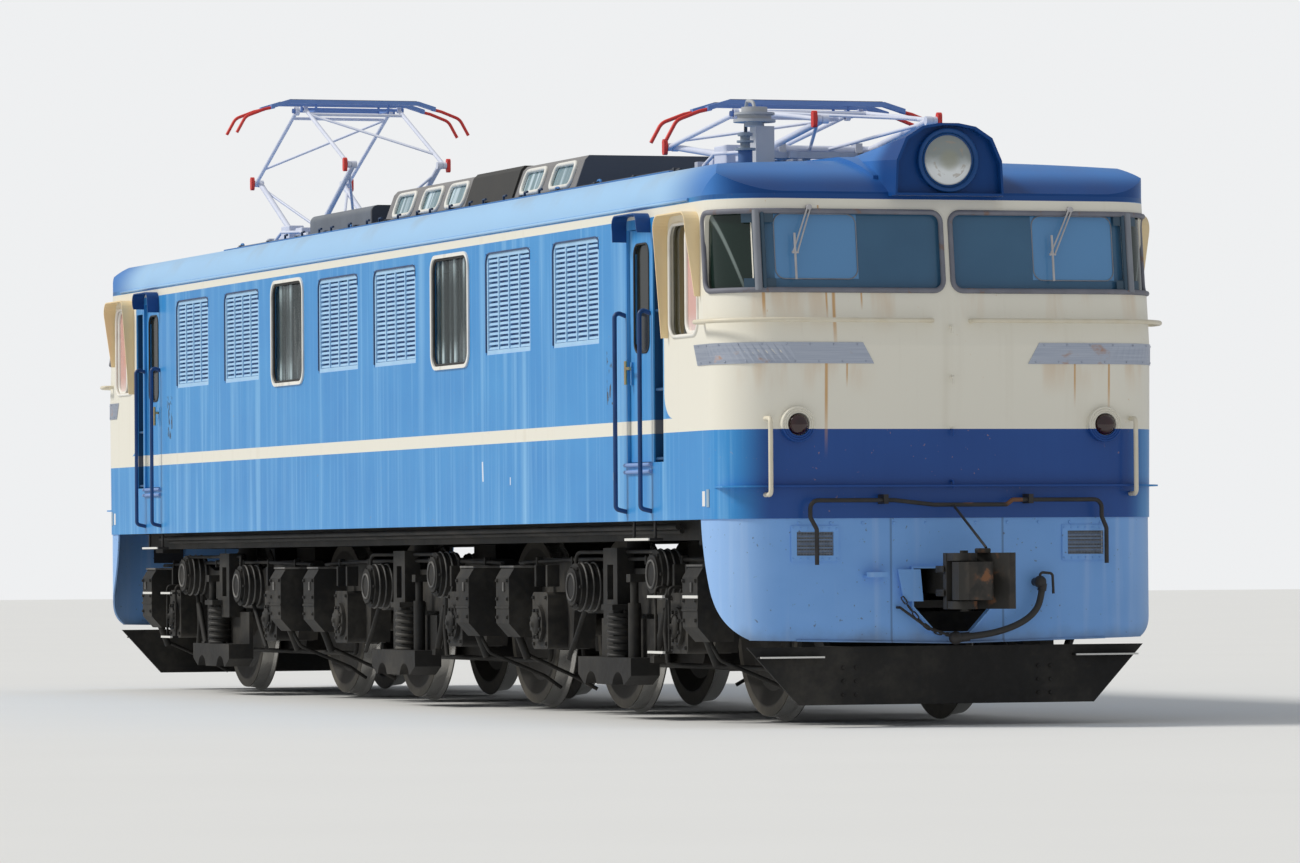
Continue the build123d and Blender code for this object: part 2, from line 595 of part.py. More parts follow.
save("door_rear_right", turned(leaf))
save("door_rear_left", turned(leaf_right))

# Skirts, ledge, lever, steps
skirt_face = CAB_FACE - FACE_TUCK


def skirt_ring(inset, z0):
    return extrude(cab_plan(inset, skirt_face, z0), amount=SILL_Z - z0, dir=(0, 0, 1))


skirt = skirt_ring(SKIRT_INSET, SKIRT_LOW) - skirt_ring(SKIRT_INSET + SKIRT_THICK, SKIRT_LOW)
SKIRT_BACK_TOP, SKIRT_BACK_MID, SKIRT_BACK_LOW = (7110, SILL_Z), (7235, RAIL_TOP + 830), (7550, SKIRT_CORNER)
side_view = make_face([
    ThreePointArc(*[(x, -HALF - 10, z) for x, z in (SKIRT_BACK_TOP, SKIRT_BACK_MID, SKIRT_BACK_LOW)]),
    Line((SKIRT_BACK_LOW[0], -HALF - 10, SKIRT_CORNER), (SKIRT_BACK_LOW[0], -HALF - 10, SKIRT_LOW)),
    Line((SKIRT_BACK_LOW[0], -HALF - 10, SKIRT_LOW), (8000, -HALF - 10, SKIRT_LOW)),
    Line((8000, -HALF - 10, SKIRT_LOW), (8000, -HALF - 10, SILL_Z)),
    Line((8000, -HALF - 10, SILL_Z), (SKIRT_BACK_TOP[0], -HALF - 10, SILL_Z)),
])
skirt &= extrude(side_view, amount=2 * HALF + 20, dir=(0, 1, 0))
skirt -= along("X", [(-HALF - 1, SKIRT_LOW - 1), (-HALF - 1, SKIRT_CORNER), (0, SKIRT_LOW),
                     (HALF + 1, SKIRT_CORNER), (HALF + 1, SKIRT_LOW - 1)], 6900, 8000)
# The coupler's opening in the skirt, with a folded rim, and a vent with its frame each side
SLOT = [(-250, RAIL_TOP + 905), (-250, RAIL_TOP + 680), (-110, RAIL_TOP + 530), (110, RAIL_TOP + 530),
        (250, RAIL_TOP + 680), (250, RAIL_TOP + 905)]
slot_cut = along("X", SLOT, skirt_face - 200, skirt_face + 200)
slot_rim = make_face(offset(Polyline(*[(y, z) for y, z in SLOT], close=True), 12, kind=Kind.INTERSECTION))
slot_rim = extrude(Plane(origin=(skirt_face - 30, 0, 0), x_dir=(0, 1, 0), z_dir=(1, 0, 0)) * slot_rim, amount=55)
skirt = skirt - slot_cut + (slot_rim - slot_cut)
VENT_Y, VENT_Z = (745, 975), (RAIL_TOP + 985, RAIL_TOP + 1125)
VENT_BARS, VENT_BAR = 5, 10
for vent, frame in zip(both_sides(block((skirt_face - 200, skirt_face + 200), VENT_Y, VENT_Z)),
                       both_sides(block((skirt_face - SKIRT_INSET - 8, skirt_face - SKIRT_INSET + 8),
                                        (VENT_Y[0] - 35, VENT_Y[1] + 35), (VENT_Z[0] - 35, VENT_Z[1] + 35)))):
    skirt = skirt + frame - vent
pitch = (VENT_Z[1] - VENT_Z[0]) / (VENT_BARS + 1)
for i in range(1, VENT_BARS + 1):
    z = VENT_Z[0] + pitch * i
    for bar in both_sides(block((skirt_face - SKIRT_INSET - 8, skirt_face - SKIRT_INSET), (VENT_Y[0] - 5, VENT_Y[1] + 5),
                                (z - VENT_BAR / 2, z + VENT_BAR / 2))):
        skirt += bar
# A bracket plate beside the coupler's opening, on its web, and a small shelf
GUSSET = [(-352, RAIL_TOP + 900), (-210, RAIL_TOP + 900), (-193, RAIL_TOP + 710), (-315, RAIL_TOP + 710)]
WEB_Y, SHELF_Y, SHELF_Z = (-312, -300), (-560, -430), RAIL_TOP + 860
SKIRT_MID = skirt_face - SKIRT_INSET - SKIRT_THICK / 2
skirt += along("X", GUSSET, skirt_face + 25, skirt_face + 35)
skirt += block((SKIRT_MID, skirt_face + 30), WEB_Y, (GUSSET[2][1] + 5, GUSSET[0][1] - 5))
skirt += block((SKIRT_MID, skirt_face + 70), SHELF_Y, (SHELF_Z - 5, SHELF_Z + 5))
skirt += block((skirt_face + 60, skirt_face + 70), SHELF_Y, (SHELF_Z, SHELF_Z + 25))
save("skirts", skirt, turned(skirt))

end_gear = []
ledge = extrude(cab_plan(-60, CAB_FACE - FACE_TUCK, LEDGE_Z), amount=10, dir=(0, 0, 1))
ledge = ledge & block((CAB_FACE - 400, CAB_FACE + 200), (-1390, 1390), (LEDGE_Z - 5, LEDGE_Z + 20))
end_gear.append(ledge - cab_outer)

LEVER_X = skirt_face + 85
LEVER_Z = RAIL_TOP + 1310
LEVER_DIP = 28
LEVER_LOW = RAIL_TOP + 930
lever = bent_rod([(LEVER_X, -880, LEVER_LOW), (LEVER_X, -880, LEVER_LOW + 210), (LEVER_X, -920, LEVER_LOW + 280),
                  (LEVER_X, -920, LEVER_Z), (LEVER_X, -390, LEVER_Z), (LEVER_X, -140, LEVER_Z - LEVER_DIP),
                  (LEVER_X, 320, LEVER_Z - LEVER_DIP), (LEVER_X, 360, LEVER_Z), (LEVER_X, 930, LEVER_Z),
                  (LEVER_X, 930, LEVER_LOW + 280), (LEVER_X, 960, LEVER_LOW + 210), (LEVER_X, 960, LEVER_LOW)],
                 13, [30, 30, 50, 60, 60, 15, 15, 50, 30, 30])
for y in (-450, 470):
    lever += block((skirt_face - 60, LEVER_X + 22), (y - 15, y + 15), (LEVER_Z - 22, LEVER_Z + 34)) - cab_outer
lift = (COUPLER_TIP - 150, 40, COUPLER_Z + HEAD_H + 30)
lever += rod((LEVER_X, -20, LEVER_Z - LEVER_DIP), lift, 8)
end_gear.append(lever)


def wiper(y, lean):
    """A wiper: spindle over the pane, two arms side by side, and an upright blade at their ends."""
    z0, z1, z2, z3 = SCREEN_Z[1] + 25, SCREEN_Z[1] - 245, SCREEN_Z[1] - 130, SCREEN_Z[0] + 60
    off = 24
    w = rod((face_x(z0) - 10, y, z0), (face_x(z0) + off + 8, y, z0), 16)
    for side in (-14, 14):
        w += rod((face_x(z0) + off, y + side * 0.7, z0), (face_x(z1) + off, y + lean + side, z1), 5)
    w += rod((face_x(z1) + off, y + lean - 20, z1), (face_x(z1) + off, y + lean + 20, z1), 7)
    w += rod((face_x(z3) + off, y + lean, z3), (face_x(z2) + off, y + lean, z2), 7)
    return w - cab_outer


end_gear += [wiper(800, -130), wiper(-865, -100)]
for z in (RAIL_TOP + 2330, RAIL_TOP + 2030, RAIL_TOP + 1720, RAIL_TOP + 1410):
    hook = bent_rod([(face_x(z) - 5, 0, z + 14), (face_x(z) + 34, 0, z + 14), (face_x(z) + 34, 0, z - 30)], 7, 12)
    end_gear.append(hook - cab_outer)
end_gear += tails
for hand in both_sides(block((DOOR_X[0], DOOR_X[1]), (HALF - 70, HALF + 25), (RAIL_TOP + 1085, RAIL_TOP + 1100))):
    end_gear.append(hand)
for i, sign in enumerate((1, -1)):
    for x in (DOOR_X[0] + 30, DOOR_X[1] - 30):
        end_gear[-2 + i] = end_gear[-2 + i] + rod((x, sign * (HALF - 30), RAIL_TOP + 1090),
                                                  (x, sign * (HALF - 30), SILL_Z), 9)

# Hose tap on the skirt, and the far coupling head that hangs from a bracket by its link
HOSE_R = 20
TAP = (skirt_face + 75, 535, RAIL_TOP + 820)
HOSE_ROUTE = [(TAP[0], 545, RAIL_TOP + 768), (TAP[0] + 3, 532, RAIL_TOP + 690), (TAP[0] + 6, 480, RAIL_TOP + 622),
              (TAP[0] + 9, 395, RAIL_TOP + 570), (TAP[0] + 10, 290, RAIL_TOP + 533), (TAP[0] + 10, 180, RAIL_TOP + 510),
              (TAP[0] + 10, 75, RAIL_TOP + 500)]
hose_start = Vector(*HOSE_ROUTE[1]) - Vector(*HOSE_ROUTE[0])
hose_end = Vector(*HOSE_ROUTE[-1]) - Vector(*HOSE_ROUTE[-2])
tap = rod((skirt_face - SKIRT_INSET, TAP[1], TAP[2]), (TAP[0], TAP[1], TAP[2]), 24)
tap += Pos(*TAP) * Sphere(38)
tap += Plane(origin=HOSE_ROUTE[0], z_dir=hose_start) * (Pos(0, 0, -22) * Cylinder(27, 44))
tap += bent_rod([(TAP[0], TAP[1], TAP[2] + 30), (TAP[0], TAP[1], TAP[2] + 58), (TAP[0], TAP[1] + 80, TAP[2] + 50),
                 (TAP[0], TAP[1] + 85, TAP[2] - 70)], 8, 20)
end_gear.append(tap)
BRACKET = (skirt_face - SKIRT_INSET, -345, RAIL_TOP + 690)
head_at = Plane(origin=HOSE_ROUTE[-1], z_dir=hose_end)
held = head_at * (Pos(0, 0, 30) * Cylinder(28, 60)) + head_at * (Pos(0, 0, 85) * Sphere(40))
link_from = (TAP[0] + 10, HOSE_ROUTE[-1][1] - 100, HOSE_ROUTE[-1][2])
link_to = (BRACKET[0] + 50, BRACKET[1], BRACKET[2] - 15)
held += bent_rod([link_from, ((link_from[0] + link_to[0]) / 2, (link_from[1] + link_to[1]) / 2,
                              (link_from[2] + link_to[2]) / 2 - 30), link_to], 8, 200)
held += rod((BRACKET[0], BRACKET[1], BRACKET[2] - 15), link_to, 8)
end_gear.append(held)
save("end_fittings", end_gear, [turned(g) for g in end_gear])

# Brake hose: hangs free between its tap and the hook
def cord_radii(points):
    """The largest arc each corner takes: 0.45 of its shorter run over the tangent of half the turn."""
    p = [Vector(*q) for q in points]
    radii = []
    for a, b, c in zip(p, p[1:], p[2:]):
        turn = (b - a).get_angle(c - b)
        radii.append(0.45 * min((b - a).length, (c - b).length) / sin(radians(turn / 2)) * cos(radians(turn / 2)))
    return radii


hose_radii = cord_radii(HOSE_ROUTE)
print("hose radii", [round(r) for r in hose_radii])
hose_path = FilletPolyline(*HOSE_ROUTE, radius=hose_radii)
hose = sweep(Plane(origin=hose_path @ 0, z_dir=hose_path % 0) * Circle(HOSE_R), path=hose_path)
save("brake_hose_front", hose)
save("brake_hose_rear", turned(hose))

# Couplers
# Head outline in plan, measured back from the coupler's foremost point


def at_tip(points):
    return [(COUPLER_TIP + u, v) for u, v in points]


head = along("Z", at_tip([(-410, -65), (-410, 65), (-340, 110), (-260, 190), (-60, 190), (-8, 165),
                          (-8, 130), (-95, 65), (-150, 30), (-205, -20), (-205, -190), (-260, -190),
                          (-340, -110)]), COUPLER_Z - HEAD_H, COUPLER_Z + HEAD_H)
pin_x, pin_y = COUPLER_TIP + KNUCKLE_PIN[0], KNUCKLE_PIN[1]
for sign in (-1, 1):
    z = COUPLER_Z + sign * (HEAD_H - 23)
    lug = Pos(pin_x, pin_y, z) * Cylinder(76, 46) + block(
        (COUPLER_TIP - 210, pin_x), (pin_y - 76, pin_y + 76), (z - 23, z + 23))
    head += lug
head += rod((pin_x, pin_y, COUPLER_Z - HEAD_H - 14), (pin_x, pin_y, COUPLER_Z + HEAD_H + 14), 24)
shank = block((COUPLER_PIN_X, COUPLER_TIP - 400), (-65, 65), (COUPLER_Z - 75, COUPLER_Z + 75))
shank += Pos(COUPLER_PIN_X, 0, COUPLER_Z) * Cylinder(95, 150)
shank -= Pos(COUPLER_PIN_X, 0, COUPLER_Z) * Cylinder(34 + RUN_GAP, 160)
coupler = head + shank
knuckle = along("Z", at_tip([(-125, -180), (-40, -176), (0, -125), (0, 10), (-28, 36), (-62, 22), (-72, -38),
                             (-125, -42)]), COUPLER_Z - KNUCKLE_H, COUPLER_Z + KNUCKLE_H)
knuckle = fillet(knuckle.edges().filter_by(Axis.Z).group_by(Axis.X)[-1], 18)
knuckle += Pos(pin_x, pin_y, COUPLER_Z) * Cylinder(70, 2 * KNUCKLE_H)
knuckle -= Pos(pin_x, pin_y, COUPLER_Z) * Cylinder(24 + RUN_GAP, 2 * KNUCKLE_H + 10)
save("coupler_front", coupler)
save("coupler_rear", turned(coupler))
save("knuckle_front", knuckle)
save("knuckle_rear", turned(knuckle))

# Wheelsets
FACE_Y = BACK_TO_BACK / 2
OUT_Y = FACE_Y + TYRE_WIDTH
FLANGE_WIDE = 32
BEARING_Y = 895
JOURNAL_END = 1140


def wheelset():
    """Axle and two wheels in one turned profile, in the half plane y by radius, doubled."""
    half = [(0, 0), (0, AXLE_R), (FACE_Y - 20, AXLE_R), (FACE_Y - 20, AXLE_R + 45), (FACE_Y + 35, 165),
            (FACE_Y + 62, 400), (FACE_Y, WHEEL_R - TYRE_THICK), (FACE_Y, WHEEL_R + FLANGE_DEPTH - 6),
            (FACE_Y + 12, WHEEL_R + FLANGE_DEPTH), (FACE_Y + FLANGE_WIDE, WHEEL_R + 4), (OUT_Y, WHEEL_R - 5),
            (OUT_Y, WHEEL_R - TYRE_THICK), (FACE_Y + 62 + WEB_THICK, 400), (FACE_Y + 35 + WEB_THICK + 14, 165),
            (OUT_Y + 20, AXLE_R + 45), (OUT_Y + 20, AXLE_R - 8), (BEARING_Y, AXLE_R - 8),
            (BEARING_Y, JOURNAL_R), (JOURNAL_END, JOURNAL_R), (JOURNAL_END, 0)]
    face = make_face(Polyline([(0, y, r) for y, r in half], close=True))
    body = revolve(face, axis=Axis.Y, revolution_arc=360)
    return body + mirror(body, about=Plane.XZ)


ws = wheelset()
axles = []
for centre in sorted(BOGIE_CENTRES.values(), reverse=True):
    axles += [centre + WHEELBASE / 2, centre - WHEELBASE / 2]
for i, x in enumerate(axles, 1):
    save("wheelset_%d" % i, Pos(x, 0, AXLE_Z) * ws)

# Bogies
FRAME_IN, FRAME_OUT = FRAME_Y - FRAME_THICK / 2, FRAME_Y + FRAME_THICK / 2
AX = WHEELBASE / 2
TRANSOM_HALF = 330
MIDDLE_SLIDE = 45
BEAM_Z = (RAIL_TOP + 515, RAIL_TOP + 645)
BEARER_TOP = MEMBER_LOW
SHOE_GAP = 6


def side_frame():
    half = [(0, FRAME_LOW - 60), (800, FRAME_LOW - 60), (1060, FRAME_LOW + 60), (1120, RAIL_TOP + 400),
            (1215, RAIL_TOP + 400), (1230, RAIL_TOP + 760), (1570, RAIL_TOP + 760), (1585, RAIL_TOP + 400),
            (1680, RAIL_TOP + 400), (1760, FRAME_LOW - 20), (FRAME_HALF - 160, BEAM_Z[0]), (FRAME_HALF, BEAM_Z[0]),
            (FRAME_HALF, FRAME_TOP - 90), (1800, FRAME_TOP), (1000, FRAME_TOP), (700, FRAME_TOP - 70),
            (0, FRAME_TOP - 70)]
    points = half + [(-x, z) for x, z in reversed(half) if x > 0]
    return along("Y", points, FRAME_IN, FRAME_OUT)


def bogie_frame(slide):
    frame = side_frame() + mirror(side_frame(), about=Plane.XZ)
    frame += block((-TRANSOM_HALF, TRANSOM_HALF), (-FRAME_IN, FRAME_IN), (RAIL_TOP + 560, RAIL_TOP + 930))
    for s in (-1, 1):
        frame += block(sorted((s * (FRAME_HALF - 110), s * (FRAME_HALF - 20))), (-FRAME_IN, FRAME_IN),
                       BEAM_Z)
        frame += rod((0, s * FRAME_Y, FRAME_TOP - 75), (0, s * FRAME_Y, BEARER_TOP - SEAM), BEARER_R)
        for x in (-AX, AX):
            box = soft_block((x - BOX_SIZE / 2, x + BOX_SIZE / 2), sorted((s * 900, s * BOX_OUT)),
                             (AXLE_Z - BOX_SIZE / 2, AXLE_Z + BOX_SIZE / 2 + 40), Axis.Y, 40)
            box += rod((x, s * (BOX_OUT - 5), AXLE_Z), (x, s * (BOX_OUT + 26), AXLE_Z), 118)
            frame += box
            frame -= rod((x, s * 880, AXLE_Z), (x, s * (JOURNAL_END + 4), AXLE_Z), JOURNAL_R + RUN_GAP)
    hole = CENTRE_PIN_R + RUN_GAP
    frame -= Pos(0, 0, RAIL_TOP + 800) * Cylinder(hole, 400)
    if slide:
        frame -= block((-hole, hole), (-slide, slide), (RAIL_TOP + 600, RAIL_TOP + 1000))
        for s in (-1, 1):
            frame -= Pos(0, s * slide, RAIL_TOP + 800) * Cylinder(hole, 400)
    return frame


def motor():
    """A nose-hung motor as one plain block with its two axle bearings."""
    m = soft_block((TRANSOM_HALF, AX - AXLE_R - 25), (-430, 430), (AXLE_Z - 270, AXLE_Z + 290), Axis.Y, 90)
    m += block((TRANSOM_HALF, TRANSOM_HALF + 120), (-430, 430), (RAIL_TOP + 600, RAIL_TOP + 800))
    for s in (-1, 1):
        y = sorted((s * 330, s * 430))
        m += rod((AX, y[0], AXLE_Z), (AX, y[1], AXLE_Z), 150)
        m += block((AX - 260, AX), y, (AXLE_Z - 130, AXLE_Z + 130))
    return m - rod((AX, -440, AXLE_Z), (AX, 440, AXLE_Z), AXLE_R + RUN_GAP)


def shoe(x_wheel, s_x, s_y):
    """A brake shoe against the tread, on its hanger from the frame's end beam."""
    ring = Cylinder(WHEEL_R + SHOE_GAP + 60, 90) - Cylinder(WHEEL_R + SHOE_GAP, 100)
    ring = Pos(x_wheel, s_y * (FACE_Y + 78), AXLE_Z) * (Rot(90, 0, 0) * ring)
    piece = ring & block(sorted((x_wheel + s_x * 500, x_wheel + s_x * 700)),
                         sorted((s_y * 500, s_y * 640)), (AXLE_Z - 190, AXLE_Z + 130))
    y = s_y * (FACE_Y + 78)
    x_low = x_wheel + s_x * (WHEEL_R + 50)
    piece += rod((x_low, y, AXLE_Z - 60), (x_low + s_x * 45, y, BEAM_Z[1] + 60), 22)
    piece += block(sorted((x_low, x_wheel + s_x * (FRAME_HALF - 110 - AX))), (y - 30, y + 30),
                   (BEAM_Z[0] + 30, BEAM_Z[1] - 30))
    return piece


def outboard(s):
    """What hangs on the outside of one side frame; s is the side."""
    def b(x, y, z):
        return block(x, sorted((s * y[0], s * y[1])), (RAIL_TOP + z[0], RAIL_TOP + z[1]))

    def r(p, q, radius):
        return rod((p[0], s * p[1], RAIL_TOP + p[2]), (q[0], s * q[1], RAIL_TOP + q[2]), radius)

    out = FRAME_OUT
    pieces = []
    # Sandboxes with their sloping lids
    for x in (-1900, 1900):
        points = [(out, RAIL_TOP + 470), (out + 150, RAIL_TOP + 470), (out + 230, RAIL_TOP + 560),
                  (out + 230, RAIL_TOP + 860), (out + 190, RAIL_TOP + 925), (out, RAIL_TOP + 925)]
        box = along("X", [(s * y, z) for y, z in points], x - 140, x + 140)
        box += r((x, out + 120, 480), (x, out + 60, 330), 26)
        pieces.append(box)
    # Brake cylinders
    for x, z in ((-600, 800), (1010, 880)):
        pieces.append(r((x, out, z), (x, out + 150, z), 150) + r((x, out + 150, z), (x, out + 175, z), 120))
    # Centre post with its oval hole, and the seat bracket with two scallops
    post = b((-140, 140), (out, out + 110), (560, 1045))
    post -= along("Y", [(-60, RAIL_TOP + 720), (60, RAIL_TOP + 720), (60, RAIL_TOP + 940), (-60, RAIL_TOP + 940)],
                  -2000, 2000)
    seat = along("Y", [(-420, RAIL_TOP + 360), (-420, RAIL_TOP + 250), (-300, RAIL_TOP + 190),
                       (500, RAIL_TOP + 190), (640, RAIL_TOP + 250), (640, RAIL_TOP + 360)], out, out + 190)
    if s < 0:
        seat = mirror(seat, about=Plane.XZ)
    for x in (-160, 380):
        seat -= rod((x, s * (out - 10), RAIL_TOP + 150), (x, s * (out + 200), RAIL_TOP + 150), 120)
    post += seat + b((-420, 640), (out, out + 30), (350, 600))
    spring = r((170, out + 100, 350), (170, out + 100, 660), 48)
    for i in range(6):
        spring += r((170, out + 100, 372 + 48 * i), (170, out + 100, 396 + 48 * i), 80)
    post += spring + b((60, 280), (out, out + 190), (655, 690))
    post += r((420, out + 90, 350), (420, out + 90, 700), 40) + r((420, out + 90, 690), (420, out + 90, 850), 26)
    post += b((380, 460), (out, out + 130), (830, 880))
    pieces.append(post)
    pieces.append(r((950, out + 60, 660), (740, out + 60, 350), 22) + b((700, 780), (out, out + 85), (330, 370))
                  + b((700, 780), (out, out + 30), (330, 640)))
    return pieces


def ladder(s):
    out = FRAME_OUT
    frame_z = RAIL_TOP + 800
    steps = block((1130, 1420), sorted((s * 1240, s * 1305)), (RAIL_TOP + 735, RAIL_TOP + 750))
    steps += block((1130, 1420), sorted((s * 1240, s * 1305)), (RAIL_TOP + 395, RAIL_TOP + 410))
    for x in (1145, 1405):
        steps += bent_rod([(x, s * out, frame_z), (x, s * 1255, frame_z), (x, s * 1255, RAIL_TOP + 400)], 9, 30)
    return steps


PLOUGH_X = 2830
PLOUGH_TOP = SKIRT_LOW - 15


def plough():
    plate = along("X", [(-1260, PLOUGH_TOP), (1260, PLOUGH_TOP), (940, RAIL_TOP + 100), (-940, RAIL_TOP + 100)],
                  PLOUGH_X, PLOUGH_X + 20)
    for s in (-1, 1):
        arm = along("Y", [(FRAME_HALF - 20, BEAM_Z[0]), (FRAME_HALF - 20, BEAM_Z[1]), (FRAME_HALF + 60, BEAM_Z[1]),
                          (2470, PLOUGH_TOP), (PLOUGH_X, PLOUGH_TOP), (PLOUGH_X, RAIL_TOP + 180),
                          (2500, RAIL_TOP + 280)],
                    s * 620 - 20, s * 620 + 20)
        plate += arm
        plate += block((PLOUGH_X + 20, PLOUGH_X + 95), sorted((s * 800, s * 1200)), (RAIL_TOP + 380, RAIL_TOP + 390))
    return plate


for name, centre in BOGIE_CENTRES.items():
    at = Pos(centre, 0, 0)
    facing = turned if name == "rear" else (lambda shape: shape)
    save("bogie_frame_" + name, at * bogie_frame(MIDDLE_SLIDE if name == "middle" else 0))
    m = motor()
    save("motors_" + name, at * m, at * turned(m))
    gear = []
    for s in (-1, 1):
        gear += [facing(p) for p in outboard(s)]
        for s_x in (-1, 1):
            gear.append(shoe(s_x * AX, s_x, s))
        if name != "middle":
            gear.append(facing(ladder(s)))
    if name != "middle":
        gear.append(facing(plough()))
    save("bogie_gear_" + name, [at * g for g in gear])

# Pantographs
BASE_RAIL_TOP = PAN_BASE_Z - TUBE_LOWER - 5
BASE_RAIL_Y = 255
INSULATOR = (560, 430)


def pantograph_base():
    base = None
    for s in (-1, 1):
        rail = block((-620, 620), (s * BASE_RAIL_Y - 25, s * BASE_RAIL_Y + 25), (BASE_RAIL_TOP - 40, BASE_RAIL_TOP))
        base = rail if base is None else base + rail
        for x in (-PAN_BASE_HALF, PAN_BASE_HALF):
            base += block((x - 42, x + 42), (s * BASE_RAIL_Y - 22, s * BASE_RAIL_Y + 22), (BASE_RAIL_TOP, PAN_BASE_Z + 40))
    for x in (-INSULATOR[0], INSULATOR[0]):
        base += block((x - 30, x + 30), (-490, 490), (BASE_RAIL_TOP - 40, BASE_RAIL_TOP))
        for y in (-INSULATOR[1], INSULATOR[1]):
            foot = Pos(x, y, EAVES_Z + 150) * Cylinder(48, 300, align=(Align.CENTER, Align.CENTER, Align.MIN))
            foot &= block((x - 99, x + 99), (y - 99, y + 99), (EAVES_Z, BASE_RAIL_TOP - 35))
            for i in range(2):
                foot += Pos(x, y, BASE_RAIL_TOP - 62 - 26 * i) * Cylinder(66, 10)
            base += foot
    for x in (-PAN_BASE_HALF, PAN_BASE_HALF):
        base -= rod((x, -600, PAN_BASE_Z), (x, 600, PAN_BASE_Z), TUBE_LOWER + RUN_GAP)
    for y in (-140, 140):
        base += rod((-545, y, BASE_RAIL_TOP - 38), (545, y, BASE_RAIL_TOP - 38), 26)
    return base


ARM_OUT = 36
EYE_GAP = 3
OPEN_EYE = 12
PIN_REACH = KNEE_Y + 18 + EYE_GAP + 30


def lower_arm(angle):
    """The lower frame ahead of its shaft, raised by the angle; pivot at the origin."""
    k = Vector(LOWER_ARM * cos(radians(angle)), 0, LOWER_ARM * sin(radians(angle)))

    def at(s, y):
        return (k.X * s, y, k.Z * s)

    arm = rod((0, -KNEE_Y - 25, 0), (0, KNEE_Y + 25, 0), TUBE_LOWER)
    for s in (-1, 1):
        arm += rod(at(0, s * KNEE_Y), at(1, s * KNEE_Y), TUBE_LOWER - 3)
        arm += rod(at(0, s * 60), at(0.86, s * (KNEE_Y - 5)), 11)
        arm += rod((k.X, s * (KNEE_Y - 22), k.Z), (k.X, s * (KNEE_Y + 18), k.Z), TUBE_LOWER + 4)
        arm += rod((k.X, s * KNEE_Y, k.Z), (k.X, s * (PIN_REACH + EYE_GAP + 4), k.Z), PIN_R)
        boot = sorted((s * (PIN_REACH + EYE_GAP), s * (PIN_REACH + EYE_GAP + 26)))
        arm += soft_block((k.X - 24, k.X + 24), boot, (k.Z - 52, k.Z + 52), Axis.Y, 22)
    return arm


def upper_arm(angle, slanted, end_bore):
    """The upper frame from its knee at the origin, going back (-X) and up by the angle."""
    a = Vector(-UPPER_ARM * cos(radians(angle)), 0, UPPER_ARM * sin(radians(angle)))
    y = KNEE_Y + ARM_OUT

    def at(s, side):
        return (a.X * s, side * y, a.Z * s)

    arm = None
    for s in (-1, 1):
        tube = rod(at(0, s), at(1, s), TUBE_UPPER)
        arm = tube if arm is None else arm + tube
        arm += rod((0, s * (y - 15), 0), (0, s * (y + 15), 0), 25)
        arm += rod((a.X, s * (y - 15), a.Z), (a.X, s * (y + 15), a.Z), end_bore + 12)
    arm += rod((a.X * 0.9, -y, a.Z * 0.9), (a.X * 0.9, y, a.Z * 0.9), 12)
    arm += rod(at(0.2, slanted), at(0.9, -slanted), 10)
    for s in (-1, 1):
        arm -= rod((0, s * (y - 20), 0), (0, s * (y + 20), 0), PIN_R + RUN_GAP)
        arm -= rod((a.X, s * (y - 20), a.Z), (a.X, s * (y + 20), a.Z), end_bore)
    return arm


PAN_Y = 150
PAN_FLAT = 520
PAN_END = 660
PAN_DROOP = 42
CRADLE_Y = KNEE_Y - 50


def pan_head():
    """Two collector strips with drooping horns, on a cradle between the two apex pins; origin midway."""
    reach = KNEE_Y + ARM_OUT + 15 + EYE_GAP + 4
    head = None
    for s in (-1, 1):
        x = s * PAN_APEX_HALF
        pins = rod((x, -reach, 0), (x, reach, 0), PIN_R)
        head = pins if head is None else head + pins
        for e in (-1, 1):
            head += rod((x, e * reach, 0), (x, e * (reach + 14), 0), 18)
    for e in (-1, 1):
        head += block((-PAN_APEX_HALF, PAN_APEX_HALF), (e * CRADLE_Y - 8, e * CRADLE_Y + 8), (-14, 14))
    for s in (-1, 1):
        x = s * PAN_Y
        for e in (-1, 1):
            head += rod((s * PAN_APEX_HALF, e * CRADLE_Y, 0), (x, e * CRADLE_Y, HEAD_PIVOT_TO_TOP - 24), 9)
            z = HEAD_PIVOT_TO_TOP - PAN_DROOP - 15
            head += bent_rod([(x, e * (PAN_END - 30), z), (x, e * (PAN_END + 50), z - 18),
                              (x, e * (HEAD_HALF - 70), z - 75), (x, e * HEAD_HALF, z - 200)], 12, 90)
        top, low = HEAD_PIVOT_TO_TOP, HEAD_PIVOT_TO_TOP - 30
        pan = along("X", [(-PAN_END, top - PAN_DROOP), (-PAN_FLAT, top), (PAN_FLAT, top), (PAN_END, top - PAN_DROOP),
                          (PAN_END, low - PAN_DROOP), (PAN_FLAT, low), (-PAN_FLAT, low), (-PAN_END, low - PAN_DROOP)],
                    x - 28, x + 28)
        head += pan
    return head


